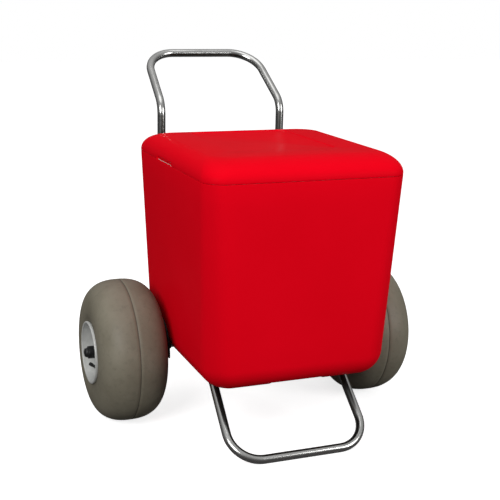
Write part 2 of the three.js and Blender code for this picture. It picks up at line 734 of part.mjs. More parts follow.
function addAxle() {
  const reach = wheelCentreX + axleOverhang;
  piece('axle', rod(axleRadius, -reach, reach, axleSides), steel).position.z = axleZ;

  const bushEnd = hubHalfLength + gap + bushFlangeThickness;
  const bore = boreFor(axleRadius, axleSides);
  for (const [side, name] of [[-1, 'left'], [1, 'right']]) {
    const group = new THREE.Group();
    group.position.z = axleZ;
    group.rotation.z = side > 0 ? 0 : Math.PI;
    cart.add(group);

    const washerIn = wheelCentreX - bushEnd - slide;
    const washerOut = wheelCentreX + bushEnd + slide;
    const washer = (from) => tubeRing(washerRadius, bore, from, from + washerThickness, axleSides);
    piece(`washer_inner_${name}`, washer(washerIn - washerThickness), zinc, group);
    piece(`washer_outer_${name}`, washer(washerOut), zinc, group);

    const capFrom = washerOut + washerThickness + gap;
    const capTo = wheelCentreX + capEndX;
    const cap = turned([
      [0, capTo], [capTipRadius - capDomeReach, capTo], [capTipRadius, capTo - capDomeHeight],
      [capTipRadius + capTipFlare, capTo - capTipHeight], [capRadius, capTo - capTipHeight - capDomeHeight],
      [capRadius, capFrom], [bore, capFrom], [bore, reach + gap], [0, reach + gap],
    ], axleSides);
    piece(`axle_cap_${name}`, cap, black, group);

    // The side plate is a disc with a flat edge in line with the tub's underside, on a boss that bears
    // the axle.
    const plateOut = axlePlateX + axlePlateThickness;
    const disc = toSolid(tubeRing(axlePlateRadius, bore, axlePlateX, plateOut, wheelSides));
    const underTub = toSolid(block(
      [axlePlateX - cutOver, -axlePlateRadius, -axlePlateRadius],
      [plateOut + cutOver, axlePlateRadius, -floorUnderAxle],
    ));
    const boss = toSolid(turned([
      [bore, axlePlateX - axlePlateSpigotLength], [axlePlateSpigotRadius, axlePlateX - axlePlateSpigotLength],
      [axlePlateSpigotRadius, axlePlateX], [axlePlateBossRadius + axlePlateFilletReach, axlePlateX],
      [axlePlateBossRadius + axlePlateFilletReach, plateOut],
      [axlePlateBossRadius, plateOut + axlePlateFilletHeight],
      [axlePlateBossRadius, washerIn - washerThickness - gap],
      [bore, washerIn - washerThickness - gap],
    ], wheelSides));
    piece(`axle_plate_${name}`, toGeometry(disc.subtract(underTub).add(boss)), black, group);
  }
}

// A block in the axle channel: the axle goes through it and its grooved foot sits over the frame rail.
function addAxleBlocks() {
  for (const [side, name] of [[-1, 'left'], [1, 'right']]) {
    const middle = side * frameHalfWidth;
    const halfY = axleChannelHalfWidth - gap;
    const highZ = axleZ + axleRadius + axleChannelClear - gap;
    const body = toSolid(block(
      [middle - axleBlockWidth / 2, -halfY, railZ],
      [middle + axleBlockWidth / 2, halfY, highZ],
    ));
    const reach = axleBlockWidth; // past the block both ways
    const axleBore = rod(boreFor(axleRadius, axleSides), -reach, reach, axleSides);
    const railBore = rod(boreFor(tubeRadius, axleSides), -reach, reach, axleSides).rotateZ(Math.PI / 2);
    const bored = body.subtract(toSolid(axleBore.translate(middle, 0, axleZ)))
      .subtract(toSolid(railBore.translate(middle, 0, railZ)));
    piece(`axle_block_${name}`, toGeometry(bored), zinc);
  }
}

// ---- tube frame

function addFrame() {
  const half = frameHalfWidth;
  const handleBarHalf = half - handleTaper;
  const footBarHalf = half + footFlare;
  const handleKneeZ = tubRimZ + handleKneeRise;
  const handleBarY = tubBackY + handleBarReach;
  const handleBarZ = tubRimZ + handleBarRise;
  const footKneeY = tubFrontY + footKneeInset;
  const footBarY = tubFrontY - footBarReach;
  const footBarZ = tubeRadius;

  piece('handle_tube', bentTube([
    corner(-half, uprightY, uprightJointZ), corner(-half, uprightY, handleKneeZ, handleKneeBend),
    corner(-handleBarHalf, handleBarY, handleBarZ, handleBend),
    corner(handleBarHalf, handleBarY, handleBarZ, handleBend),
    corner(half, uprightY, handleKneeZ, handleKneeBend), corner(half, uprightY, uprightJointZ),
  ]), steel);

  piece('foot_tube', bentTube([
    corner(-half, railJointY, railZ), corner(-half, footKneeY, railZ, footKneeBend),
    corner(-footBarHalf, footBarY, footBarZ, footBend),
    corner(footBarHalf, footBarY, footBarZ, footBend),
    corner(half, footKneeY, railZ, footKneeBend), corner(half, railJointY, railZ),
  ]), steel);

  const sleeveOut = (tubeRadius - tubeWall) * Math.cos(Math.PI / boreSides) - gap; // clears the bore's flats
  for (const [side, name] of [[-1, 'left'], [1, 'right']]) {
    const x = side * half;
    piece(`rail_tube_${name}`, bentTube([
      corner(x, uprightY, uprightJointZ - gap), corner(x, uprightY, railZ, railBend),
      corner(x, railJointY + gap, railZ),
    ]), steel);
    const sleeve = (from, to) => bentTube([from, to], sleeveOut, sleeveWall);
    piece(`sleeve_back_${name}`, sleeve(
      corner(x, uprightY, uprightJointZ - sleeveLength / 2),
      corner(x, uprightY, uprightJointZ + sleeveLength / 2),
    ), zinc);
    piece(`sleeve_base_${name}`, sleeve(
      corner(x, railJointY - sleeveLength / 2, railZ),
      corner(x, railJointY + sleeveLength / 2, railZ),
    ), zinc);
  }
}

// A clamp's outline: a ring round the tube at the origin and a foot lying on a face at distance stand.
function clampOutline(stand, side) {
  const ring = tubeRadius + gap + clampWall;
  const foot = -side * clampFoot;
  const outline = new THREE.Shape();
  outline.moveTo(foot, stand);
  outline.lineTo(foot, stand - clampWall);
  outline.lineTo(-side * ring, stand - clampWall);
  for (let k = 0; k <= clampArcSteps; k++) {
    const turn = k / clampArcSteps * Math.PI;
    outline.lineTo(-side * ring * Math.cos(turn), -ring * Math.sin(turn));
  }
  outline.lineTo(side * ring, stand);
  outline.holes.push(new THREE.Path(polygon(boreFor(tubeRadius, tubeSides), tubeSides)));
  return outline;
}

function addClamps() {
  const clampDepth = { depth: clampLength, bevelEnabled: false };
  for (const [side, name] of [[-1, 'left'], [1, 'right']]) {
    const x = side * frameHalfWidth;
    ['upper', 'lower'].forEach((place, k) => {
      const topZ = tubRimZ - backClampDrop[k] + clampLength;
      const stand = uprightY - backWallY(topZ) - gap;
      const clamp = new THREE.ExtrudeGeometry(clampOutline(stand, side), clampDepth);
      clamp.rotateX(Math.PI);
      clamp.translate(x, uprightY, topZ);
      piece(`back_clamp_${place}_${name}`, clamp, black);
    });
    const baseClampFrom = { front: tubFrontY + baseClampFrontInset, rear: tubBackY - baseClampBackInset };
    for (const [place, fromY] of Object.entries(baseClampFrom)) {
      const stand = tubFloorZ - gap - railZ;
      const clamp = new THREE.ExtrudeGeometry(clampOutline(stand, side), clampDepth);
      clamp.rotateX(Math.PI / 2);
      clamp.translate(x, fromY + clampLength, railZ);
      piece(`base_clamp_${place}_${name}`, clamp, black);
    }
  }
}

addTub();
addDrain();
addLid();
addHinge(-1, 'left');
addHinge(1, 'right');
addWheel(-1, 'left');
addWheel(1, 'right');
addAxle();
addAxleBlocks();
addFrame();
addClamps();

export default cart;
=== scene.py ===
# A beach cooler on a two-wheeled tube frame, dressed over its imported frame.
# Metres, +Z up, +Y to the back (the handle side), +X to the right seen from the front.
import math

import bmesh
import bpy
from mathutils import Euler, Matrix, Vector


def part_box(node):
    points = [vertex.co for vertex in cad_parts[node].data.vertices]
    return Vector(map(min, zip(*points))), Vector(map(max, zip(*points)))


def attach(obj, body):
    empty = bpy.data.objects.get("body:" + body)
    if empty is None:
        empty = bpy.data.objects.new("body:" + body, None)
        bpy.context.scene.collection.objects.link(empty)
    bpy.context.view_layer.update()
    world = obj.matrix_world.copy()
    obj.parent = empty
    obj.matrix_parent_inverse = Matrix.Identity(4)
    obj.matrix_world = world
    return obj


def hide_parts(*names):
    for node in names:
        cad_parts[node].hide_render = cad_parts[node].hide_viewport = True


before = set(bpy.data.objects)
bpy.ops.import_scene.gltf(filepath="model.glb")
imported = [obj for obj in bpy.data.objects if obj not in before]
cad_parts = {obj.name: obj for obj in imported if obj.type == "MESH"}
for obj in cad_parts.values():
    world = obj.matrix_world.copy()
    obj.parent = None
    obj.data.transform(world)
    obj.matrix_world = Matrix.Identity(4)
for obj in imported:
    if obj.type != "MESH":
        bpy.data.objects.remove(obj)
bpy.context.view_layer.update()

scene = bpy.context.scene
handSides = {"left": -1, "right": 1}
gap = 0.0003  # between two pieces that touch
slide = 0.0004  # between faces that turn or slide past each other


# ---- camera, light and floor

cameraSetup = {
    "place": (-1.1421, -2.8851, 1.2545),
    "turn": -21.98,  # degrees about +Z, from looking along +Y
    "tilt": -15.47,
    "roll": 1.32,
    "lens": 76.3,
    "shift": (-0.0067, 0.055),
}


def addCamera(setup):
    data = bpy.data.cameras.new("camera")
    data.lens = setup["lens"]
    data.shift_x, data.shift_y = setup["shift"]
    camera = bpy.data.objects.new("camera", data)
    scene.collection.objects.link(camera)
    aim = Euler((math.radians(90 + setup["tilt"]), 0, math.radians(setup["turn"])), "XYZ").to_matrix()
    roll = Matrix.Rotation(math.radians(setup["roll"]), 3, "Z")
    camera.matrix_world = Matrix.Translation(setup["place"]) @ (aim @ roll).to_4x4()
    scene.camera = camera


lightSetup = {
    "key": {"place": (-2.9, -2.8, 2.4), "target": (0, -0.1, 0.5), "size": 2.0, "power": 92},
    "fill": {"place": (2.7, -3.3, 1.8), "target": (0, -0.1, 0.5), "size": 2.0, "power": 68},
    "top": {"place": (-0.3, -0.2, 3.4), "target": (0, 0, 0.6), "size": 2.4, "power": 14},
}
worldSetup = {"ground": 0.1, "horizon": 0.14, "sky": 0.5, "backdrop": 1.0}


def addLights(setup):
    for name, light in setup.items():
        data = bpy.data.lights.new(name, "AREA")
        data.shape = "DISK"
        data.size = light["size"]
        data.energy = light["power"]
        lamp = bpy.data.objects.new(name, data)
        scene.collection.objects.link(lamp)
        aim = Vector(light["target"]) - Vector(light["place"])
        lamp.location = light["place"]
        lamp.rotation_euler = aim.to_track_quat("-Z", "Y").to_euler()


def addWorld(setup):
    world = bpy.data.worlds.new("studio")
    world.use_nodes = True
    nodes = world.node_tree.nodes
    links = world.node_tree.links
    coordinates = nodes.new("ShaderNodeTexCoord")
    split = nodes.new("ShaderNodeSeparateXYZ")
    ramp = nodes.new("ShaderNodeMapRange")
    levels = nodes.new("ShaderNodeValToRGB")
    background = nodes["Background"]
    ramp.inputs["From Min"].default_value = -1.0
    links.new(coordinates.outputs["Generated"], split.inputs[0])
    links.new(split.outputs["Z"], ramp.inputs["Value"])
    links.new(ramp.outputs["Result"], levels.inputs[0])
    links.new(levels.outputs["Color"], background.inputs["Color"])
    grey = [setup["ground"], setup["horizon"], setup["horizon"], setup["sky"]]
    stops = levels.color_ramp.elements
    for k, place in enumerate((0.35, 0.5, 0.62, 0.9)):
        stop = stops[k] if k < 2 else stops.new(place)
        stop.position = place
        stop.color = (grey[k], grey[k], grey[k], 1)
    backdrop = nodes.new("ShaderNodeBackground")
    backdrop.inputs["Color"].default_value = (1, 1, 1, 1)
    backdrop.inputs["Strength"].default_value = setup["backdrop"]
    choice = nodes.new("ShaderNodeMixShader")
    links.new(nodes.new("ShaderNodeLightPath").outputs["Is Camera Ray"], choice.inputs[0])
    links.new(background.outputs[0], choice.inputs[1])
    links.new(backdrop.outputs[0], choice.inputs[2])
    links.new(choice.outputs[0], nodes["World Output"].inputs["Surface"])
    scene.world = world


# ---- shader maths

class Wire:  # one shader socket; arithmetic on it adds Math nodes
    def __init__(self, shader, socket):
        self.shader = shader
        self.socket = socket

    def math(self, operation, *values):
        return self.shader.add("ShaderNodeMath", {"operation": operation}, dict(enumerate(values)))

    def __add__(self, other):
        return self.math("ADD", self, other)

    def __sub__(self, other):
        return self.math("SUBTRACT", self, other)

    def __rsub__(self, other):
        return self.math("SUBTRACT", other, self)

    def __mul__(self, other):
        return self.math("MULTIPLY", self, other)

    def __truediv__(self, other):
        return self.math("DIVIDE", self, other)

    def __pow__(self, other):
        return self.math("POWER", self, other)

    def __abs__(self):
        return self.math("ABSOLUTE", self)

    __radd__ = __add__
    __rmul__ = __mul__

    def clamped(self):
        return self.math("MAXIMUM", self.math("MINIMUM", self, 1.0), 0.0)

    def above(self, edge, width):  # 0 below the edge, 1 past edge + width
        return ((self - edge) / width).clamped()


class Shader:
    def __init__(self, name):
        self.material = bpy.data.materials.new(name)
        self.material.use_nodes = True
        self.tree = self.material.node_tree
        self.surface = self.tree.nodes["Principled BSDF"]
        self.place = self.add("ShaderNodeTexCoord", output="Object")

    def add(self, kind, settings=None, values=None, output=0):
        node = self.tree.nodes.new(kind)
        for key, value in (settings or {}).items():
            setattr(node, key, value)
        for key, value in (values or {}).items():
            self.feed(node.inputs[key], value)
        return Wire(self, node.outputs[output])

    def feed(self, socket, value):
        if isinstance(value, Wire):
            self.tree.links.new(value.socket, socket)
        else:
            socket.default_value = value

    def noise(self, scale, detail=4.0, roughness=0.55, place=None):
        values = {"Vector": place or self.place, "Scale": scale, "Detail": detail, "Roughness": roughness}
        return self.add("ShaderNodeTexNoise", None, values)

    def cells(self, scale):
        return self.add("ShaderNodeTexVoronoi", {"feature": "F1"}, {"Vector": self.place, "Scale": scale})

    def stretched(self, amounts):
        return self.add("ShaderNodeMapping", None, {"Vector": self.place, "Scale": amounts})

    def parts(self):
        split = self.add("ShaderNodeSeparateXYZ", None, {0: self.place})
        return [Wire(self, output) for output in split.socket.node.outputs]

    def blend(self, factor, low, high):
        return self.add("ShaderNodeMix", {"data_type": "RGBA"}, {0: factor, 6: low, 7: high}, 2)

    def bump(self, height, distance):
        return self.add("ShaderNodeBump", None, {"Height": height, "Distance": distance})

    def finish(self, **values):
        for key, value in values.items():
            self.feed(self.surface.inputs[key.replace("_", " ")], value)
        return self.material


def rgb(red, green, blue):  # a 0-255 screen colour as a linear one
    def linear(level):
        level /= 255
        return level / 12.92 if level <= 0.04045 else ((level + 0.055) / 1.055) ** 2.4

    return (linear(red), linear(green), linear(blue), 1.0)


# ---- materials

redLook = {
    "colour": rgb(240, 5, 28),
    "shade": rgb(228, 3, 22),
    "roughness": 0.34,
    "index": 1.04,  # a low index keeps grazing faces from hazing over
    "peel": 0.00005,
}


def makeRed(look):
    shader = Shader("redPlastic")
    cloud = shader.noise(3.2, 3.0)
    grain = shader.noise(420.0, 3.0, 0.6)
    scuff = shader.noise(60.0, 5.0, 0.7, shader.stretched((1.0, 1.0, 6.0))).above(0.66, 0.1)
    colour = shader.blend(cloud.above(0.3, 0.5) * 0.6, look["colour"], look["shade"])
    roughness = look["roughness"] + (cloud - 0.5) * 0.08 + (grain - 0.5) * 0.06 + scuff * 0.07
    peel = shader.bump(grain + shader.noise(70.0, 2.0) * 2.0, look["peel"])
    return shader.finish(Base_Color=colour, Roughness=roughness, IOR=look["index"], Normal=peel)


linerLook = {
    "colour": rgb(232, 232, 226),
    "shade": rgb(214, 213, 204),
    "roughness": 0.42,
    "grain": 0.00005,
}


def makeLiner(look):
    shader = Shader("linerPlastic")
    cloud = shader.noise(6.0, 4.0)
    colour = shader.blend(cloud.above(0.35, 0.4), look["colour"], look["shade"])
    roughness = look["roughness"] + (cloud - 0.5) * 0.12
    grain = shader.bump(shader.noise(500.0), look["grain"])
    return shader.finish(Base_Color=colour, Roughness=roughness, Normal=grain)


foamLook = {
    "colour": rgb(226, 212, 160),
    "shade": rgb(198, 178, 120),
    "roughness": 0.95,
    "bubble": 0.0006,
}


def makeFoam(look):
    shader = Shader("insulatingFoam")
    bubble = shader.cells(260.0)
    colour = shader.blend(bubble.above(0.2, 0.6), look["shade"], look["colour"])
    pores = shader.bump(bubble, look["bubble"])
    return shader.finish(Base_Color=colour, Roughness=look["roughness"], Normal=pores)


steelLook = {"colour": rgb(214, 214, 212), "shade": rgb(182, 182, 180), "roughness": 0.2, "grain": 0.000002}


def makeSteel(look):
    shader = Shader("polishedSteel")
    smear = shader.noise(14.0)
    fine = shader.noise(900.0, 3.0, 0.7)
    colour = shader.blend(smear.above(0.4, 0.35), look["colour"], look["shade"])
    roughness = look["roughness"] + smear.above(0.45, 0.3) * 0.1 + (fine - 0.5) * 0.08
    grain = shader.bump(fine, look["grain"])
    return shader.finish(Base_Color=colour, Metallic=1.0, Roughness=roughness, Normal=grain)


zincLook = {"colour": rgb(176, 178, 180), "shade": rgb(132, 134, 138), "roughness": 0.36, "grain": 0.00003}


def makeZinc(look):
    shader = Shader("zincPlatedSteel")
    spangle = shader.cells(170.0)
    smear = shader.noise(30.0)
    colour = shader.blend((spangle + smear) * 0.5, look["colour"], look["shade"])
    roughness = look["roughness"] + (smear - 0.5) * 0.25
    grain = shader.bump(spangle, look["grain"])
    return shader.finish(Base_Color=colour, Metallic=1.0, Roughness=roughness, Normal=grain)


rimLook = {
    "colour": rgb(222, 223, 220),
    "shade": rgb(200, 201, 198),
    # colour of the painted shade in the crease between web and drum
    "creaseShade": rgb(84, 82, 74),
    "creaseShadeRadius": 0.075,  # painted shade: the rim darkens where the web runs into the drum
    "creaseShadeWidth": 0.012,
    "metal": 0.15,
    "roughness": 0.38,
    "grain": 0.00004,
}


def makeRim(look, axleHeight):
    shader = Shader("castRim")
    _, y, z = shader.parts()
    cloud = shader.noise(26.0, 5.0)
    radius = (y * y + (z - axleHeight) ** 2) ** 0.5
    # painted shade: darkens and roughens the crease where the web meets the drum, broken up by noise
    crease = 1 - (abs(radius - look["creaseShadeRadius"]) / look["creaseShadeWidth"]).clamped()
    creaseShade = crease * cloud.above(0.35, 0.3) * 0.7
    paint = shader.blend(cloud.above(0.35, 0.4) * 0.6, look["colour"], look["shade"])
    colour = shader.blend(creaseShade, paint, look["creaseShade"])
    roughness = look["roughness"] + (cloud - 0.5) * 0.2 + creaseShade * 0.3
    bump = shader.bump(shader.noise(700.0, 3.0), look["grain"])
    return shader.finish(Base_Color=colour, Metallic=look["metal"], Roughness=roughness, Normal=bump)


tyreLook = {
    "colour": rgb(127, 121, 105),
    "pale": rgb(139, 133, 117),
    # dark: used for random blotches and for the painted shade towards the rim
    "dark": rgb(100, 94, 81),
    "line": rgb(62, 58, 50),
    "lineWidth": 0.0016,
    "roughness": 0.5,
    "shine": 0.35,
    "dents": 0.00022,
}


def makeTyre(look, axleHeight, wheelX, radius):
    shader = Shader("balloonTyre")
    x, y, z = shader.parts()
    out = (y * y + (z - axleHeight) ** 2) ** 0.5
    cloud = shader.noise(9.0, 5.0, 0.6)
    blotch = shader.noise(60.0, 4.0, 0.65)
    fine = shader.noise(380.0, 4.0, 0.7)
    base = shader.blend(cloud.above(0.36, 0.3), look["colour"], look["pale"])
    # painted shade: the sidewall darkens towards the rim, where it rolls in under the lip; mixed with random
    # blotches
    rimShade = 1 - out.above(radius * 0.42, radius * 0.16)
    blotchAndRimShade = (blotch.above(0.52, 0.22) * 0.5 + rimShade * 0.5).clamped()
    base = shader.blend(blotchAndRimShade * 0.7, base, look["dark"])
    line = 1 - abs(abs(x) - wheelX).above(look["lineWidth"] / 4, look["lineWidth"])
    speck = (1 - shader.cells(95.0).above(0.02, 0.05)) * blotch.above(0.5, 0.1)
    base = shader.blend((line * 0.75 + speck * 0.5).clamped(), base, look["line"])
    roughness = look["roughness"] + (cloud - 0.5) * 0.2 + (fine - 0.5) * 0.12
    dents = shader.bump(fine + blotch * 1.5, look["dents"])
    return shader.finish(Base_Color=base, Roughness=roughness, Specular_IOR_Level=look["shine"], Normal=dents)


blackLook = {"colour": rgb(20, 20, 21), "shade": rgb(40, 40, 40), "roughness": 0.4, "grain": 0.00006}


def makeBlack(look):
    shader = Shader("blackPlastic")
    grain = shader.noise(600.0, 3.0)
    dust = shader.noise(40.0).above(0.5, 0.3)
    colour = shader.blend(dust * 0.6, look["colour"], look["shade"])
    roughness = look["roughness"] + dust * 0.15 + (grain - 0.5) * 0.1
    return shader.finish(Base_Color=colour, Roughness=roughness, Normal=shader.bump(grain, look["grain"]))


rubberLook = {"colour": rgb(26, 26, 26), "shade": rgb(46, 45, 43), "roughness": 0.7, "grain": 0.0001}


def makeRubber(look):
    shader = Shader("blackRubber")
    bloom = shader.noise(55.0, 5.0)
    colour = shader.blend(bloom.above(0.4, 0.4), look["colour"], look["shade"])
    roughness = look["roughness"] + (bloom - 0.5) * 0.2
    return shader.finish(Base_Color=colour, Roughness=roughness, Normal=shader.bump(bloom, look["grain"]))


floorLook = {
    "size": 14.0,
    "colour": rgb(250, 250, 250),
    "shade": rgb(246, 246, 246),
    "roughness": 0.9,
    "glow": 0.75,
    "bounce": 0.1,  # grey level that the floor shows to everything but the camera
}


def addFloor(look):
    shader = Shader("paleFloor")
    colour = shader.blend(shader.noise(1.5, 2.0), look["colour"], look["shade"])
    white = (1, 1, 1, 1)
    material = shader.finish(
        Base_Color=colour, Roughness=look["roughness"], Emission_Color=white, Emission_Strength=look["glow"])
    bounce = shader.add("ShaderNodeBsdfDiffuse", None, {"Color": (look["bounce"],) * 3 + (1,)})
    seen = shader.add("ShaderNodeLightPath", output="Is Camera Ray")
    shown = Wire(shader, shader.surface.outputs[0])
    choice = shader.add("ShaderNodeMixShader", None, {0: seen, 1: bounce, 2: shown})
    shader.feed(shader.tree.nodes["Material Output"].inputs["Surface"], choice)
    form = bmesh.new()
    bmesh.ops.create_grid(form, x_segments=8, y_segments=8, size=look["size"])
    floor = newObject("floor", form)
    floor.data.materials.append(material)


# ---- mesh making

def newObject(name, form):
    mesh = bpy.data.meshes.new(name)
    bmesh.ops.recalc_face_normals(form, faces=form.faces)
    form.to_mesh(mesh)
    form.free()
    piece = bpy.data.objects.new(name, mesh)
    scene.collection.objects.link(piece)
    return piece


def skin(rings, loop=False):  # a closed surface through rings of points; a loop joins last to first
    form = bmesh.new()
    stack = [[form.verts.new(point) for point in ring] for ring in rings]
    pairs = list(zip(stack, stack[1:] + stack[:1])) if loop else list(zip(stack, stack[1:]))
    for low, high in pairs:
        for k in range(len(low)):
            form.faces.new((low[k - 1], low[k], high[k], high[k - 1]))
    if not loop:
        form.faces.new(stack[0])
        form.faces.new(stack[-1])
    return form


def roundedCorners(corners, steps=6):  # (across, along, radius) corners as an outline with round corners
    outline = []
    for k, (a, b, radius) in enumerate(corners):
        here = Vector((a, b))
        if radius == 0:
            outline.append(here)
            continue
        back = Vector(corners[k - 1][:2]) - here
        on = Vector(corners[(k + 1) % len(corners)][:2]) - here
        bend = math.pi - back.angle(on)
        reach = radius * math.tan(bend / 2)
        room = min(reach, back.length / 2.02, on.length / 2.02)
        start = here + back.normalized() * room
        end = here + on.normalized() * room
        for s in range(steps + 1):  # a quadratic curve stays close to the arc at these bends
            t = s / steps
            outline.append(start * (1 - t) ** 2 + here * (2 * t * (1 - t)) + end * t ** 2)
    return outline


def turned(profile, segments, steps=5):  # turns (radius, place along X, corner radius) points about X
    outline = roundedCorners(profile, steps)
    solid = min(radius for radius, _ in outline) < 1e-6
    if solid:
        outline = [point for point in outline if point[0] > 1e-6]
    rings = []
    for radius, along in outline:
        turns = [2 * math.pi * k / segments for k in range(segments)]
        rings.append([Vector((along, radius * math.cos(turn), radius * math.sin(turn))) for turn in turns])
    return skin(rings, loop=not solid)


def bar(radius, start, end, ease, segments):  # a solid rod along X with eased ends
    return turned([(0, start, 0), (radius, start, ease), (radius, end, ease), (0, end, 0)], segments)


def collar(bore, radius, start, end, ease, segments, boreEase=0):  # a rod with a bore through it
    profile = [(bore, start, boreEase), (radius, start, ease), (radius, end, ease), (bore, end, boreEase)]
    return turned(profile, segments)


def boxRing(centreY, halfX, halfY, corner, z, bulge=0.0, cornerSteps=12, sideSteps=10):
    ring = []
    for quarter in range(4):
        signX = 1 if quarter in (0, 3) else -1
        signY = 1 if quarter < 2 else -1
        for k in range(cornerSteps + 1):
            turn = (quarter + k / cornerSteps) * math.pi / 2
            x = signX * (halfX - corner) + corner * math.cos(turn)
            y = signY * (halfY - corner) + corner * math.sin(turn)
            ring.append(Vector((x, centreY + y, z)))
        outward = Vector(((0, 1, 0), (-1, 0, 0), (0, -1, 0), (1, 0, 0))[quarter])
        onward = Vector((-outward.y, outward.x, 0))
        depth, reach = (halfY, halfX - corner) if quarter % 2 == 0 else (halfX, halfY - corner)
        for k in range(1, sideSteps):
            share = k / sideSteps
            swell = bulge * math.sin(math.pi * share)
            spot = outward * (depth + swell) + onward * reach * (2 * share - 1)
            ring.append(Vector((0, centreY, z)) + spot)
    return ring


def plate(outline, holes, depth):  # an outline with holes, given depth along +Z
    form = bmesh.new()
    edges = []
    for loop in [outline, *holes]:
        corners = [form.verts.new((point[0], point[1], 0)) for point in loop]
        edges += [form.edges.new((corners[k - 1], corners[k])) for k in range(len(corners))]
    bmesh.ops.triangle_fill(form, edges=edges, use_beauty=True, use_dissolve=False)
    base = list(form.faces)
    risen = bmesh.ops.extrude_face_region(form, geom=base)
    corners = [item for item in risen["geom"] if isinstance(item, bmesh.types.BMVert)]
    bmesh.ops.translate(form, verts=corners, vec=(0, 0, depth))
    return form


def circle(radius, segments, centre=(0, 0)):
    turns = [2 * math.pi * k / segments for k in range(segments)]
    middle = Vector(centre)
    return [middle + Vector((math.cos(turn), math.sin(turn))) * radius for turn in turns]


def blockOutline(low, high, corner):
    spots = ((low[0], low[1]), (high[0], low[1]), (high[0], high[1]), (low[0], high[1]))
    return roundedCorners([(*spot, corner) for spot in spots], 4)


quarterTurn = Matrix.Rotation(math.pi / 2, 4, "Z")  # takes +X to +Y


def moved(form, matrix):
    bmesh.ops.transform(form, matrix=matrix, verts=form.verts)
    return form


def joined(*forms):
    whole = bmesh.new()
    for form in forms:
        part = bpy.data.meshes.new("part")
        form.to_mesh(part)
        form.free()
        whole.from_mesh(part)
        bpy.data.meshes.remove(part)
    return whole


def applyModifiers(piece):
    depsgraph = bpy.context.evaluated_depsgraph_get()
    finished = bpy.data.meshes.new_from_object(piece.evaluated_get(depsgraph))
    piece.modifiers.clear()
    piece.data = finished


def carve(piece, *cutters, operation="DIFFERENCE"):
    for cutter in cutters:
        tool = newObject("cutter", cutter) if isinstance(cutter, bmesh.types.BMesh) else cutter
        modifier = piece.modifiers.new("carve", "BOOLEAN")
        modifier.solver = "EXACT"
        modifier.operation = operation
        modifier.object = tool
        applyModifiers(piece)
        bpy.data.objects.remove(tool)


def soften(piece, width, segments=3, angle=40):
    modifier = piece.modifiers.new("soften", "BEVEL")
    modifier.width = width
    modifier.segments = segments
    modifier.limit_method = "ANGLE"
    modifier.angle_limit = math.radians(angle)
    applyModifiers(piece)


def settle(piece, finish, body, *nodes, angle=35):  # dresses a finished piece and ties it to the frame
    material, slotName = finish
    piece.data.materials.clear()
    piece.data.materials.append(material)
    piece.data.polygons.foreach_set("use_smooth", [True] * len(piece.data.polygons))
    piece.data.set_sharp_from_angle(angle=math.radians(angle))
    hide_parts(*nodes)
    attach(piece, body)


def around(side, centreX, centreZ):  # from a wheel's own axes, outer side along +X, to the cart's
    facing = Matrix.Rotation(0 if side > 0 else math.pi, 4, "Z")
    return Matrix.Translation((side * centreX, 0, centreZ)) @ facing


axleHeight = sum(corner.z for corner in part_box("axle")) / 2
wheelX = sum(corner.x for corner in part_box("tyre_right")) / 2

finishes = {
    "red": (makeRed(redLook), "red_plastic"),
    "liner": (makeLiner(linerLook), "white_plastic"),
    "foam": (makeFoam(foamLook), "foam"),
    "steel": (makeSteel(steelLook), "polished_steel"),
    "zinc": (makeZinc(zincLook), "zinc_steel"),
    "rim": (makeRim(rimLook, axleHeight), "rim_aluminium"),
    "tyre": (makeTyre(tyreLook, axleHeight, wheelX, axleHeight), "balloon_tyre"),
    "black": (makeBlack(blackLook), "black_plastic"),
    "rubber": (makeRubber(rubberLook), "black_rubber"),
}
addCamera(cameraSetup)
addLights(lightSetup)
addWorld(worldSetup)
addFloor(floorLook)
print("studio and materials ready")


# ---- tub

tub = {
    "draft": 0.020,  # each side draws in this much from rim to floor
    "cornerRim": 0.057,
    "cornerFloor": 0.082,
    "edge": 0.066,  # round under the floor's edge
    "bulge": 0.0015,
    "wall": 0.004,
    "lip": 0.0018,
    "liner": 0.003,
    "insulation": 0.041,
    "keelRecess": 0.013,
    "keelHalf": 0.082,
    "channelHalf": 0.018,
    "channelClear": 0.0145,  # above the axle's middle
    "edgeSteps": 16,
}
tubLow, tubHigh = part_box("tub_shell")
cavityLow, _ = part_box("tub_liner")
cavityFloor = cavityLow.z + tub["liner"]
tubCentre = (tubLow + tubHigh) / 2
tubHalf = (tubHigh - tubLow) / 2
linerInset = tub["wall"] + gap + tub["insulation"]
cavityInset = linerInset + tub["liner"]


def tubRing(inset, z):
    depth = (tubHigh.z - z) / (tubHigh.z - tubLow.z)
    halfX = tubHalf.x - tub["draft"] * depth - inset
    halfY = tubHalf.y - tub["draft"] * depth - inset
    corner = tub["cornerRim"] + (tub["cornerFloor"] - tub["cornerRim"]) * depth - inset
    fade = math.sin(math.pi * min(max(1 - depth, 0), 1))  # no swelling at the rim and the floor
    return boxRing(tubCentre.y, halfX, halfY, corner, z, tub["bulge"] * fade)


def tubRings(inset, floorZ, topZ, wallSteps=8):
    edge = tub["edge"] - inset
    rings = []
    for k in range(tub["edgeSteps"] + 1):
        turn = k / tub["edgeSteps"] * math.pi / 2
        rings.append(tubRing(inset + edge * (1 - math.sin(turn)), floorZ + edge * (1 - math.cos(turn))))
    start = floorZ + edge
    for k in range(1, wallSteps + 1):
        rings.append(tubRing(inset, start + (topZ - start) * k / wallSteps))
    return rings


def slab(low, high, corner):  # a block whose edges along X and Y are rounded
    across = blockOutline((low[1], low[2]), (high[1], high[2]), corner)
    form = plate(across, [], high[0] - low[0])
    turn = Matrix(((0, 0, 1), (1, 0, 0), (0, 1, 0))).to_4x4()
    return moved(form, Matrix.Translation((low[0], 0, 0)) @ turn)


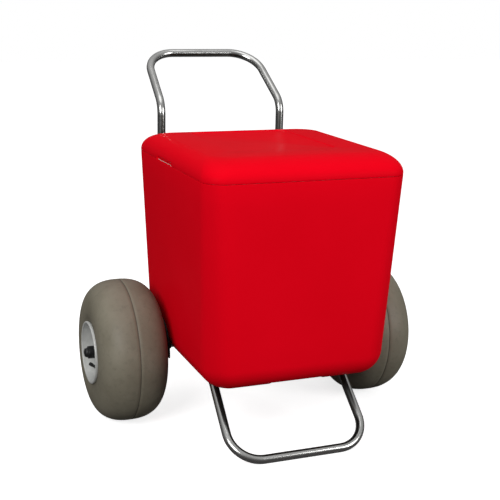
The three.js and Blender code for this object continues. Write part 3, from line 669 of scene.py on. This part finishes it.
def undersideCutters(grow):
    keelHalf = tub["keelHalf"] + grow
    keelTop = tubLow.z + tub["keelRecess"] + grow
    channelHalf = tub["channelHalf"] + grow
    channelTop = axleHeight + tub["channelClear"] + grow
    far, below = 1, -0.3  # well past the tub on every side
    keel = moved(slab((-far, -keelHalf, below), (far, keelHalf, keelTop), 0.003), quarterTurn)
    channel = slab((-far, -channelHalf, below), (far, channelHalf, channelTop), 0.004)
    return keel, channel


def backWall(z):
    return tubHigh.y - tub["draft"] * (tubHigh.z - z) / (tubHigh.z - tubLow.z)


drain = {
    "radius": 0.012,
    "boreFit": 0.0123,
    "through": (-0.16, 0.04),  # how far the hole is cut in and out of the back wall
    "bore": 0.009,
    "flange": 0.020,
    "flangeDepth": 0.004,
    "headInset": 0.003,
}
drainLow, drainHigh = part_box("drain_tube")
drainHeight = (drainLow.z + drainHigh.z) / 2
plugLow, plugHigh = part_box("drain_plug")


def makeTub():
    lip = tub["lip"]
    top = tubHigh.z
    outside = tubRings(0, tubLow.z, top - lip)
    turns = (0.4, 0.8, 1.2, math.pi / 2)
    roll = [tubRing(lip * (1 - math.cos(t)), top - lip * (1 - math.sin(t))) for t in turns]
    shell = newObject("tubShell", skin([*outside, *roll]))
    hollow = newObject("hollow", skin(tubRings(tub["wall"], tubLow.z + tub["wall"], top + 0.01)))
    carve(hollow, *undersideCutters(tub["wall"]))
    carve(shell, *undersideCutters(0), hollow)

    inner = tubRings(cavityInset, cavityFloor, top - lip)
    innerRoll = [
        tubRing(cavityInset - lip * (1 - math.cos(t)), top - lip * (1 - math.sin(t))) for t in turns
    ]
    flangeEdge = tub["wall"] + gap
    rings = [
        *tubRings(linerInset, cavityFloor - tub["liner"], top - tub["liner"]),
        tubRing(flangeEdge, top - tub["liner"]),
        tubRing(flangeEdge, top - lip / 2),
        tubRing(flangeEdge + lip / 2, top),
        *reversed(innerRoll),
        *reversed(inner),
    ]
    liner = newObject("tubLiner", skin(rings))

    place = Matrix.Translation((0, backWall(drainHeight), drainHeight)) @ quarterTurn
    for piece in (shell, liner):
        carve(piece, moved(bar(drain["boreFit"], *drain["through"], 0, 40), place))
    settle(shell, finishes["red"], "cart", "tub_shell")
    shell.visible_glossy = False  # keeps the tubes a clean grey
    settle(liner, finishes["liner"], "cart", "tub_liner")


def makeDrain():
    turn = Matrix.Translation((0, 0, drainHeight)) @ quarterTurn
    wallY = drainHigh.y - drain["flangeDepth"]
    tube = turned([
        (drain["bore"], drainLow.y, 0), (drain["radius"], drainLow.y, 0), (drain["radius"], wallY, 0),
        (drain["flange"], wallY, 0.0005), (drain["flange"], drainHigh.y, 0.0015),
        (drain["bore"], drainHigh.y, 0.0006),
    ], 48)
    settle(newObject("drainTube", moved(tube, turn)), finishes["liner"], "cart", "drain_tube")

    fit = drain["bore"] - slide
    headY = drainHigh.y + slide
    head = drain["flange"] - drain["headInset"]
    plug = turned([
        (0, plugLow.y, 0), (fit - 0.001, plugLow.y, 0.001), (fit, plugLow.y + 0.004, 0.002),
        (fit, headY, 0),
        (head, headY, 0.001), (head, plugHigh.y - 0.002, 0.0015),
        (head - 0.003, plugHigh.y, 0.001),
        (head * 0.55, plugHigh.y, 0.001), (head * 0.5, plugHigh.y - 0.002, 0.001), (0, plugHigh.y - 0.002, 0),
    ], 48)
    settle(newObject("drainPlug", moved(plug, turn)), finishes["black"], "drain_plug", "drain_plug")


makeTub()
makeDrain()
print("tub ready")


# ---- lid

lid = {
    "rimHeight": 0.0035,
    "rise": 0.050,
    "shoulder": 0.094,  # in from the front and back edges
    "shoulderSide": 0.050,
    "wall": 0.0035,
    "lip": 0.0014,
    "skirt": 0.0012,  # the edge hangs this far into the gap over the tub's rim
    "flange": 0.005,
    "plugDrop": 0.015,
    "plugClear": 0.003,
    "panelHalfX": 0.155,
    "panelY": (-0.275, 0.104),
    "panelDepth": 0.003,
    "panelCorner": 0.026,
    "panelSlope": 0.006,
    "gripHalf": 0.070,
    "gripRadius": 0.010,
    "gripStandOff": 0.0035,
    "gripY": -0.082,
    "shoulderSteps": 20,
    "cornerCut": 0.054,  # the most that an inset takes off a corner's radius
    "plugFillet": 0.004,
    "sealWidth": 0.014,
}
lidLow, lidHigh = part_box("lid_shell")
lidRim = lidLow.z + lid["rimHeight"]


def lidRing(inset, z):
    corner = tub["cornerRim"] - min(inset, lid["cornerCut"])
    return boxRing(tubCentre.y, tubHalf.x - inset, tubHalf.y - inset, corner, z)


def shoulderRings(inset):
    rings = []
    for k in range(lid["shoulderSteps"] + 1):
        turn = k / lid["shoulderSteps"] * math.pi / 2
        halfX = tubHalf.x - inset - lid["shoulderSide"] * (1 - math.cos(turn))
        halfY = tubHalf.y - inset - lid["shoulder"] * (1 - math.cos(turn))
        z = lidRim + (lid["rise"] - inset) * math.sin(turn)
        rings.append(boxRing(tubCentre.y, halfX, halfY, tub["cornerRim"] - inset, z))
    return rings


def panelRings(grow):
    front, back = lid["panelY"]
    top = lidHigh.z - grow
    rings = []
    for k in range(7):
        t = k / 6
        depth = lid["panelDepth"] * (3 * t * t - 2 * t ** 3)
        out = grow - lid["panelSlope"] * t
        halfX = lid["panelHalfX"] + out
        halfY = (back - front) / 2 + out
        rings.append(boxRing((front + back) / 2, halfX, halfY, lid["panelCorner"] + out, top - depth))
    return rings


def gripCutter(side, grow):
    radius = lid["gripRadius"] + grow
    half = lid["gripHalf"] + grow
    end = radius * 0.8
    place = Matrix.Translation((side * (tubHalf.x + lid["gripStandOff"]), lid["gripY"], lidLow.z))
    return moved(bar(radius, -half, half, end, 40), place @ quarterTurn)


def makeLid():
    lip = lid["lip"]
    turns = (0, 0.5, 1.0, math.pi / 2)
    edgeZ = lidLow.z - lid["skirt"]
    bottom = [lidRing(lip * (1 - math.sin(t)), edgeZ + lip * (1 - math.cos(t))) for t in turns]
    shell = newObject("lidShell", skin([*bottom, *shoulderRings(0), *panelRings(0)]))
    under = [lidRing(lid["wall"], lidLow.z - 0.02), *shoulderRings(lid["wall"]), *panelRings(lid["wall"])]
    inside = newObject("inside", skin(under))
    for side in handSides.values():
        carve(inside, gripCutter(side, lid["wall"]))
        carve(shell, gripCutter(side, 0))
    carve(shell, inside)

    edge = lid["wall"] + gap
    plug = cavityInset + lid["plugClear"]
    plugBottom = lidLow.z - lid["plugDrop"]
    flangeTop = lidLow.z + lid["flange"]
    fillet = lid["plugFillet"]
    plugRound = [
        lidRing(plug + fillet * (1 - math.sin(t)), plugBottom + fillet * (1 - math.cos(t))) for t in turns
    ]
    liner = newObject("lidLiner", skin([
        *plugRound, lidRing(plug, lidLow.z), lidRing(edge, lidLow.z), lidRing(edge, flangeTop),
        lidRing(plug + tub["liner"], flangeTop), lidRing(plug + tub["liner"], plugBottom + tub["liner"]),
    ]))
    for side in handSides.values():
        carve(liner, gripCutter(side, edge))
    for piece in (shell, liner):
        for name in handSides:
            leafLow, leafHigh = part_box("hinge_lid_leaf_" + name)
            low = (leafLow.x - gap, backWall(tubHigh.z) - hinge["lidReach"] - gap, lidLow.z - 0.01)
            high = (leafHigh.x + gap, backWall(tubHigh.z) + 0.01, lidLow.z + 2 * gap + hinge["leaf"])
            carve(piece, slab(low, high, 0.0005))
    settle(shell, finishes["red"], "lid", "lid_shell")
    shell.visible_glossy = False
    settle(liner, finishes["liner"], "lid", "lid_liner")

    sealLow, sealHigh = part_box("lid_gasket")
    inset = tubHalf.x - sealHigh.x
    width = lid["sealWidth"]
    seal = newObject("lidGasket", skin([
        lidRing(inset, sealLow.z), lidRing(inset, sealHigh.z),
        lidRing(inset + width, sealHigh.z), lidRing(inset + width, sealLow.z),
    ], loop=True))
    settle(seal, finishes["rubber"], "lid", "lid_gasket")


# ---- hinges

hinge = {
    "leaf": 0.0025,
    "knuckle": 0.006,
    "pin": 0.0025,
    "lidReach": 0.030,
    "drop": 0.036,
    "half": 0.030,
    "centreHalf": 0.0105,
    "corner": 0.005,
    "ease": 0.0006,  # round on the knuckles' ends
    "screwHead": 0.0036,
    "screwHeight": 0.0018,
    "screwX": 0.020,
    "screwDrops": (0.015, 0.028),
}


def screwHead(radius, height):  # a domed head with a driver recess, standing on x = 0 and facing +X
    dip = radius * 0.4
    return turned([
        (0, 0, 0), (radius, 0, 0), (radius, height * 0.4, height * 0.4),
        (radius * 0.62, height, height * 0.3),
        (dip, height, 0), (dip, height * 0.35, 0), (0, height * 0.35, 0),
    ], 20)


def barrel(start, end, axis):
    form = collar(hinge["pin"] + gap, hinge["knuckle"], start, end, hinge["ease"], 32)
    return moved(form, axis)


def makeHinge(name):
    leafLow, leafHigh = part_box("hinge_body_leaf_" + name)
    middle = (leafLow.x + leafHigh.x) / 2
    backY = tubHigh.y + gap
    pinLow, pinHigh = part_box("hinge_pin_" + name)
    axisY, axisZ = ((pinLow + pinHigh) / 2)[1:]
    half, centre, knuckle = hinge["half"], hinge["centreHalf"], hinge["knuckle"]
    axis = Matrix.Translation((middle, axisY, axisZ))
    outline = roundedCorners([
        (-half, -hinge["drop"], hinge["corner"]), (half, -hinge["drop"], hinge["corner"]), (half, 0, 0),
        (centre + slide, 0, 0), (centre + slide, -knuckle - 0.001, 0.001),
        (-centre - slide, -knuckle - 0.001, 0.001), (-centre - slide, 0, 0), (-half, 0, 0),
    ], 5)
    stand = Matrix.Translation((middle, backY + hinge["leaf"], axisZ)) @ Matrix.Rotation(math.pi / 2, 4, "X")
    bodyPlate = moved(plate(outline, [], hinge["leaf"]), stand)
    screws = []
    for x in (-hinge["screwX"], hinge["screwX"]):
        for drop in hinge["screwDrops"]:
            place = Matrix.Translation((middle + x, backY + hinge["leaf"], axisZ - drop))
            screws.append(moved(screwHead(hinge["screwHead"], hinge["screwHeight"]), place @ quarterTurn))
    ends = [barrel(-half, -centre - slide, axis), barrel(centre + slide, half, axis)]
    body = newObject("hingeBodyLeaf_" + name, joined(bodyPlate, *ends, *screws))
    settle(body, finishes["zinc"], "cart", "hinge_body_leaf_" + name)

    lidLeafZ = lidLow.z + gap
    topOutline = roundedCorners([
        (-half, -hinge["lidReach"], hinge["corner"]), (half, -hinge["lidReach"], hinge["corner"]),
        (half, -slide, 0.001), (centre, -slide, 0), (centre, axisY - tubHigh.y, 0),
        (-centre, axisY - tubHigh.y, 0), (-centre, -slide, 0), (-half, -slide, 0.001),
    ], 5)
    lidPlate = plate(topOutline, [], hinge["leaf"])
    moved(lidPlate, Matrix.Translation((middle, tubHigh.y, lidLeafZ)))
    leaf = newObject("hingeLidLeaf_" + name, joined(lidPlate, barrel(-centre, centre, axis)))
    settle(leaf, finishes["zinc"], "lid", "hinge_lid_leaf_" + name)

    reach = (pinHigh.x - pinLow.x) / 2
    pin = moved(bar(hinge["pin"], -reach, reach, 0.0008, 24), axis)
    settle(newObject("hingePin_" + name, pin), finishes["steel"], "cart", "hinge_pin_" + name)


makeLid()
for name in handSides:
    makeHinge(name)
print("lid and hinges ready")


# ---- wheels

wheel = {
    "halfWidth": 0.100,
    "waist": 0.112,  # radius where the balloon is widest
    "wall": 0.007,
    "fullness": 0.8,  # under 1 squares the section up
    "lineDepth": 0.0009,
    "lineHalf": 0.0016,
    "sheet": 0.003,
    "lipRadius": 0.092,
    "lipX": 0.102,  # outer face of the rolled lip, from the wheel's middle
    "lipRoll": 0.008,
    "seat": 0.088,
    "drum": 0.081,
    "webX": 0.040,
    "drumX": 0.047,
    "hub": 0.022,
    "hubBore": 0.014,
    "hubHalf": 0.074,
    "hubFlange": 0.040,
    "hubFlangeDepth": 0.005,
    "bushFlange": 0.020,
    "bushFlangeDepth": 0.003,
    "bushLength": 0.030,
    "beadGap": 0.003,  # from the rolled lip
    "beadWidth": 0.024,
    "beadRise": 0.005,  # over the lip's edge
    "beadWall": 0.008,
}
valve = {
    "radius": 0.004,
    "length": 0.042,
    "tail": 0.007,
    "cap": 0.0052,
    "capLength": 0.012,
    "seatX": 0.062,
    "turn": -30,
}


def seatRadius(x):
    share = (abs(x) - wheel["drumX"]) / (wheel["lipX"] - wheel["lipRoll"] - wheel["drumX"])
    return wheel["drum"] + (wheel["seat"] - wheel["drum"]) * share


def balloonPoint(turn, halfWidth, radius):
    across = math.copysign(abs(math.sin(turn)) ** wheel["fullness"], turn)
    out = abs(math.cos(turn)) ** wheel["fullness"]
    return wheel["waist"] + (radius - wheel["waist"]) * out, halfWidth * across


def tyreProfile(radius):
    half = wheel["halfWidth"]
    outside = []
    steps = 56
    for k in range(steps + 1):
        if k == steps // 2:
            for share, depth in ((-1, 0), (-0.5, 0.8), (0, 1), (0.5, 0.8), (1, 0)):
                outside.append((radius - depth * wheel["lineDepth"], share * wheel["lineHalf"]))
        else:
            outside.append(balloonPoint((k / steps - 0.5) * math.pi, half, radius))
    heel = wheel["lipX"] - wheel["lipRoll"] - wheel["beadGap"]
    toe = heel - wheel["beadWidth"]
    rise = wheel["beadRise"]
    bead = [
        (wheel["lipRadius"] + rise, heel + rise), (seatRadius(heel) + gap, heel),
        (seatRadius(toe) + gap, toe), (seatRadius(toe) + gap + wheel["beadWall"], toe),
    ]
    mirrored = [(r, -x) for r, x in reversed(bead)]
    wall = wheel["wall"]
    inside = [balloonPoint((k / 16 - 0.5) * math.pi, half - wall, radius - wall) for k in range(17)]
    return [(r, x, 0) for r, x in (*mirrored, *outside, *bead, *reversed(inside))]


def rimProfile(withDrum):
    w = wheel
    lipIn = w["lipX"] - w["lipRoll"]
    bore = w["hub"] + gap
    webIn = w["webX"] - w["sheet"]
    visible = [
        (bore, w["webX"], 0), (w["drum"] - 0.009, w["webX"], 0.004),
        (w["drum"] - w["sheet"], w["drumX"], 0.005),
        (w["seat"] - w["sheet"], lipIn, 0.003), (w["seat"] - w["sheet"], w["lipX"], 0.003),
        (w["lipRadius"], w["lipX"], 0.0035), (w["lipRadius"], lipIn, 0.003),
        (w["seat"], lipIn, 0.001), (w["drum"], w["drumX"], 0.002),
    ]
    drumEnd = gap - webIn
    drum = [
        (w["drum"], drumEnd, 0), (w["drum"] - w["sheet"], drumEnd, 0),
        (w["drum"] - w["sheet"], webIn, 0.001), (bore, webIn, 0),
    ]
    return [*visible, *(drum if withDrum else [(w["drum"] - 0.007, webIn, 0.002), (bore, webIn, 0)])]


def makeValve(name, side):
    v = valve
    stem = turned([
        (0, -v["tail"], 0), (v["radius"], -v["tail"], 0), (v["radius"], v["length"] - v["capLength"], 0),
        (v["cap"], v["length"] - v["capLength"], 0.0008), (v["cap"], v["length"] - 0.001, 0.0015),
        (0, v["length"], 0),
    ], 24)
    lean = Matrix.Rotation(-math.pi / 4, 4, "Y")
    seat = Matrix.Translation((v["seatX"], 0, -wheel["drum"]))
    spin = Matrix.Rotation(math.radians(v["turn"]), 4, "X")
    moved(stem, around(side, wheelX, axleHeight) @ spin @ seat @ lean)
    settle(newObject("valve_" + name, stem), finishes["rubber"], "wheel_" + name, "valve_" + name)


def makeWheel(name, side):
    w = wheel
    body = "wheel_" + name
    place = around(side, wheelX, axleHeight)
    facingIn = place @ Matrix.Rotation(math.pi, 4, "Z")

    tyre = newObject("tyre_" + name, moved(turned(tyreProfile(axleHeight), 128), place))
    settle(tyre, finishes["tyre"], body, "tyre_" + name, angle=50)
    outer = newObject("rimOuter_" + name, moved(turned(rimProfile(False), 96), place))
    settle(outer, finishes["rim"], body, "rim_outer_" + name)
    inner = newObject("rimInner_" + name, moved(turned(rimProfile(True), 96), facingIn))
    settle(inner, finishes["rim"], body, "rim_inner_" + name)
    makeValve(name, side)

    flangeIn = w["webX"] - w["sheet"] - gap
    flangeOut = flangeIn - w["hubFlangeDepth"]
    hub = turned([
        (w["hubBore"], -w["hubHalf"], 0.001), (w["hub"], -w["hubHalf"], 0.0015),
        (w["hub"], -flangeIn, 0), (w["hubFlange"], -flangeIn, 0.001), (w["hubFlange"], -flangeOut, 0.001),
        (w["hub"], -flangeOut, 0.002), (w["hub"], flangeOut, 0.002), (w["hubFlange"], flangeOut, 0.001),
        (w["hubFlange"], flangeIn, 0.001), (w["hub"], flangeIn, 0), (w["hub"], w["hubHalf"], 0.0015),
        (w["hubBore"], w["hubHalf"], 0.001),
    ], 64)
    settle(newObject("hub_" + name, moved(hub, place)), finishes["zinc"], body, "hub_" + name)

    bore = axle["radius"] + gap
    stop = w["hubHalf"] + gap
    end = stop + w["bushFlangeDepth"]
    for where, matrix in (("outer", place), ("inner", facingIn)):
        start = w["hubHalf"] - w["bushLength"]
        bush = turned([
            (bore, start, 0), (w["hubBore"] - gap, start, 0), (w["hubBore"] - gap, stop, 0),
            (w["bushFlange"], stop, 0.0005), (w["bushFlange"], end, 0.001), (bore, end, 0.0005),
        ], 48)
        piece = newObject("bush_%s_%s" % (where, name), moved(bush, matrix))
        settle(piece, finishes["black"], body, "bush_%s_%s" % (where, name))


axle = {
    "radius": 0.010,
    "overhang": 0.086,
    "washer": 0.019,
    "washerDepth": 0.0024,
    "cap": 0.019,
    "capTip": 0.013,
    "capEnd": 0.113,
    "plate": 0.097,
    "plateX": 0.2716,
    "plateDepth": 0.004,
    "boss": 0.016,
    "spigot": 0.0135,
    "spigotLength": 0.030,
}


def makeAxle():
    a = axle
    low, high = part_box("axle")
    rod = moved(bar(a["radius"], low.x, high.x, 0.001, 40), Matrix.Translation((0, 0, axleHeight)))
    settle(newObject("axle", rod), finishes["steel"], "cart", "axle")

    bore = a["radius"] + gap
    bushEnd = wheel["hubHalf"] + gap + wheel["bushFlangeDepth"]
    reach = wheelX + a["overhang"]
    for name, side in handSides.items():
        place = around(side, 0, axleHeight)
        inside = wheelX - bushEnd - slide - a["washerDepth"]
        outside = wheelX + bushEnd + slide
        for where, start in (("inner", inside), ("outer", outside)):
            washer = collar(bore, a["washer"], start, start + a["washerDepth"], 0.0006, 48, 0.0003)
            piece = newObject("washer_%s_%s" % (where, name), moved(washer, place))
            settle(piece, finishes["zinc"], "cart", "washer_%s_%s" % (where, name))

        start = outside + a["washerDepth"] + gap
        end = wheelX + a["capEnd"]
        tip = a["capTip"]
        cap = turned([
            (0, end - 0.0012, 0), (0.0042, end - 0.0012, 0), (0.0046, end, 0.0003), (tip - 0.005, end, 0.001),
            (tip, end - 0.003, 0.003), (tip + 0.001, end - 0.0085, 0.001),
            (a["cap"] - 0.001, end - 0.0105, 0.002), (a["cap"], start, 0.0008),
            (bore, start, 0.0005), (bore, reach + gap, 0), (0, reach + gap, 0),
        ], 64)
        settle(newObject("axleCap_" + name, moved(cap, place)), finishes["black"], "cart", "axle_cap_" + name)

        face = a["plateX"] + a["plateDepth"]
        bossEnd = inside - gap
        discHole = a["boss"] - 0.002
        disc = turned([
            (discHole, a["plateX"], 0), (a["plate"], a["plateX"], 0.0012), (a["plate"], face, 0.0018),
            (a["plate"] - 0.012, face, 0.001), (a["plate"] - 0.015, face - 0.001, 0.001),
            (a["boss"] + 0.016, face - 0.001, 0.001), (a["boss"] + 0.012, face, 0), (discHole, face, 0),
        ], 96)
        plateObject = newObject("axlePlate_" + name, moved(disc, place))
        edges = sorted(side * x for x in (a["plateX"] - 0.002, face + 0.002))
        carve(plateObject, slab((edges[0], -0.2, -0.1), (edges[1], 0.2, tubLow.z), 0.002))
        spigotEnd = a["plateX"] - a["spigotLength"]
        boss = turned([
            (bore, spigotEnd, 0.0004), (a["spigot"], spigotEnd, 0.001),
            (a["spigot"], a["plateX"], 0), (a["boss"] + 0.008, a["plateX"], 0.0005),
            (a["boss"] + 0.008, face, 0.001), (a["boss"], face + 0.006, 0.004),
            (a["boss"], bossEnd, 0.001), (bore, bossEnd, 0.0004),
        ], 64)
        carve(plateObject, moved(boss, place), operation="UNION")
        settle(plateObject, finishes["black"], "cart", "axle_plate_" + name)


def makeAxleBlocks():
    reach = 0.06  # past the block on both sides
    for name in handSides:
        low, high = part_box("axle_block_" + name)
        middle = (low.x + high.x) / 2
        block = newObject("axleBlock_" + name, slab(low, high, 0.003))
        for rod, height, facing in ((axle, axleHeight, 0), (tube, railHeight, math.pi / 2)):
            fit = rod["radius"] + gap
            place = Matrix.Translation((middle, 0, height)) @ Matrix.Rotation(facing, 4, "Z")
            carve(block, moved(bar(fit, -reach, reach, 0, 40), place))
        soften(block, 0.0008)
        settle(block, finishes["zinc"], "cart", "axle_block_" + name)


# ---- tube frame

tube = {
    "radius": 0.0125,
    "handleBend": 0.094,
    "handleTaper": 0.012,  # bar corners in from the uprights
    "handleKneeBend": 0.060,
    "footBend": 0.087,
    "footFlare": 0.0075,  # bar corners out from the rails
    "footKneeBend": 0.060,
    "railBend": 0.080,
    "handleKneeZ": 0.895,
    "footKneeY": -0.249,
    "segments": 32,
    "bendStep": math.radians(5),
}
handleLow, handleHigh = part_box("handle_tube")
footLow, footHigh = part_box("foot_tube")
railLow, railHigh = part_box("rail_tube_right")
tubeX = (railLow.x + railHigh.x) / 2
railHeight = railLow.z + tube["radius"]
uprightY = handleLow.y + tube["radius"]


def bentPath(corners):
    points = [Vector(corners[0][0])]
    for k in range(1, len(corners) - 1):
        here = Vector(corners[k][0])
        arriving = (here - Vector(corners[k - 1][0])).normalized()
        leaving = (Vector(corners[k + 1][0]) - here).normalized()
        angle = arriving.angle(leaving)
        bend = corners[k][1]
        start = here - arriving * bend * math.tan(angle / 2)
        sideways = (leaving - arriving * leaving.dot(arriving)).normalized()
        steps = math.ceil(angle / tube["bendStep"])
        for s in range(steps + 1):
            turn = angle * s / steps
            points.append(start + arriving * bend * math.sin(turn) + sideways * bend * (1 - math.cos(turn)))
    points.append(Vector(corners[-1][0]))
    return points


def sweptTube(corners, radius):
    points = bentPath(corners)
    count = len(points)
    tangents = [(points[min(k + 1, count - 1)] - points[max(k - 1, 0)]).normalized() for k in range(count)]
    up = tangents[0].orthogonal().normalized()
    chamfer = 0.0006
    section = circle(1, tube["segments"])
    rings = []
    for k, (point, tangent) in enumerate(zip(points, tangents)):
        up = (up - tangent * up.dot(tangent)).normalized()
        across = tangent.cross(up)
        if k == 0:
            stations = [(point, radius - chamfer), (point + tangent * chamfer, radius)]
        elif k == count - 1:
            stations = [(point - tangent * chamfer, radius), (point, radius - chamfer)]
        else:
            stations = [(point, radius)]
        for centre, size in stations:
            rings.append([centre + (up * spot.x + across * spot.y) * size for spot in section])
    return skin(rings)


def makeFrame():
    t = tube
    radius = t["radius"]
    barX, barY, barZ = tubeX - t["handleTaper"], handleHigh.y - radius, handleHigh.z - radius
    handle = sweptTube([
        ((-tubeX, uprightY, handleLow.z), 0), ((-tubeX, uprightY, t["handleKneeZ"]), t["handleKneeBend"]),
        ((-barX, barY, barZ), t["handleBend"]), ((barX, barY, barZ), t["handleBend"]),
        ((tubeX, uprightY, t["handleKneeZ"]), t["handleKneeBend"]), ((tubeX, uprightY, handleLow.z), 0),
    ], radius)
    settle(newObject("handleTube", handle), finishes["steel"], "cart", "handle_tube")

    barX, barY, barZ = tubeX + t["footFlare"], footLow.y + radius, footLow.z + radius
    foot = sweptTube([
        ((-tubeX, footHigh.y, railHeight), 0), ((-tubeX, t["footKneeY"], railHeight), t["footKneeBend"]),
        ((-barX, barY, barZ), t["footBend"]), ((barX, barY, barZ), t["footBend"]),
        ((tubeX, t["footKneeY"], railHeight), t["footKneeBend"]), ((tubeX, footHigh.y, railHeight), 0),
    ], radius)
    settle(newObject("footTube", foot), finishes["steel"], "cart", "foot_tube")

    for name, side in handSides.items():
        x = side * tubeX
        rail = sweptTube([
            ((x, uprightY, railHigh.z), 0), ((x, uprightY, railHeight), t["railBend"]),
            ((x, railLow.y, railHeight), 0),
        ], radius)
        settle(newObject("railTube_" + name, rail), finishes["steel"], "cart", "rail_tube_" + name)


clamp = {"wall": 0.0035, "reach": 0.042, "screwHead": 0.0052, "screwHeight": 0.0028, "screwFrom": 0.030}


def makeClamp(node, name, side, stand, depth, matrix):
    ring = tube["radius"] + gap + clamp["wall"]
    inward = -side
    turns = [math.pi * k / 24 for k in range(25)]
    arc = [(inward * ring * math.cos(turn), -ring * math.sin(turn)) for turn in turns]
    thick = stand - clamp["wall"]
    outline = [
        Vector((inward * clamp["reach"], stand)), Vector((inward * clamp["reach"], thick)),
        Vector((inward * ring, thick)), *[Vector(point) for point in arc], Vector((-inward * ring, stand)),
    ]
    form = plate(outline, [circle(tube["radius"] + gap, 32)], depth)
    place = Matrix.Translation((inward * clamp["screwFrom"], thick, depth / 2))
    screwPlace = place @ Matrix.Rotation(-math.pi / 2, 4, "Z")
    body = newObject(name, moved(form, matrix))
    soften(body, 0.0007, 2)
    head = screwHead(clamp["screwHead"], clamp["screwHeight"])
    screw = newObject("screw", moved(head, matrix @ screwPlace))
    whole = joined(fromMesh(body), fromMesh(screw))
    bpy.data.objects.remove(body)
    bpy.data.objects.remove(screw)
    settle(newObject(name, whole), finishes["black"], "cart", node)


def fromMesh(piece):
    form = bmesh.new()
    form.from_mesh(piece.data)
    return form


def makeClamps():
    for name, side in handSides.items():
        x = side * tubeX
        for place in ("upper", "lower"):
            node = "back_clamp_%s_%s" % (place, name)
            low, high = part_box(node)
            stand = uprightY - low.y
            matrix = Matrix.Translation((x, uprightY, high.z)) @ Matrix.Rotation(math.pi, 4, "X")
            makeClamp(node, "backClamp_%s_%s" % (place, name), side, stand, high.z - low.z, matrix)
        for place in ("front", "rear"):
            node = "base_clamp_%s_%s" % (place, name)
            low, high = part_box(node)
            stand = high.z - railHeight
            matrix = Matrix.Translation((x, high.y, railHeight)) @ Matrix.Rotation(math.pi / 2, 4, "X")
            makeClamp(node, "baseClamp_%s_%s" % (place, name), side, stand, high.y - low.y, matrix)


for name, side in handSides.items():
    makeWheel(name, side)
print("wheels ready")
makeAxle()
makeAxleBlocks()
makeFrame()
makeClamps()
print("axle, tube frame and clamps ready")

# pieces out of sight keep their own shape and take a finish
carried = {
    "foam": ["tub_foam", "lid_foam"],
    "zinc": ["sleeve_%s_%s" % (where, name) for where in ("back", "base") for name in handSides],
}
for finish, nodes in carried.items():
    for node in nodes:
        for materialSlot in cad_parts[node].material_slots:
            materialSlot.material = finishes[finish][0]

scene.view_settings.view_transform = "Standard"
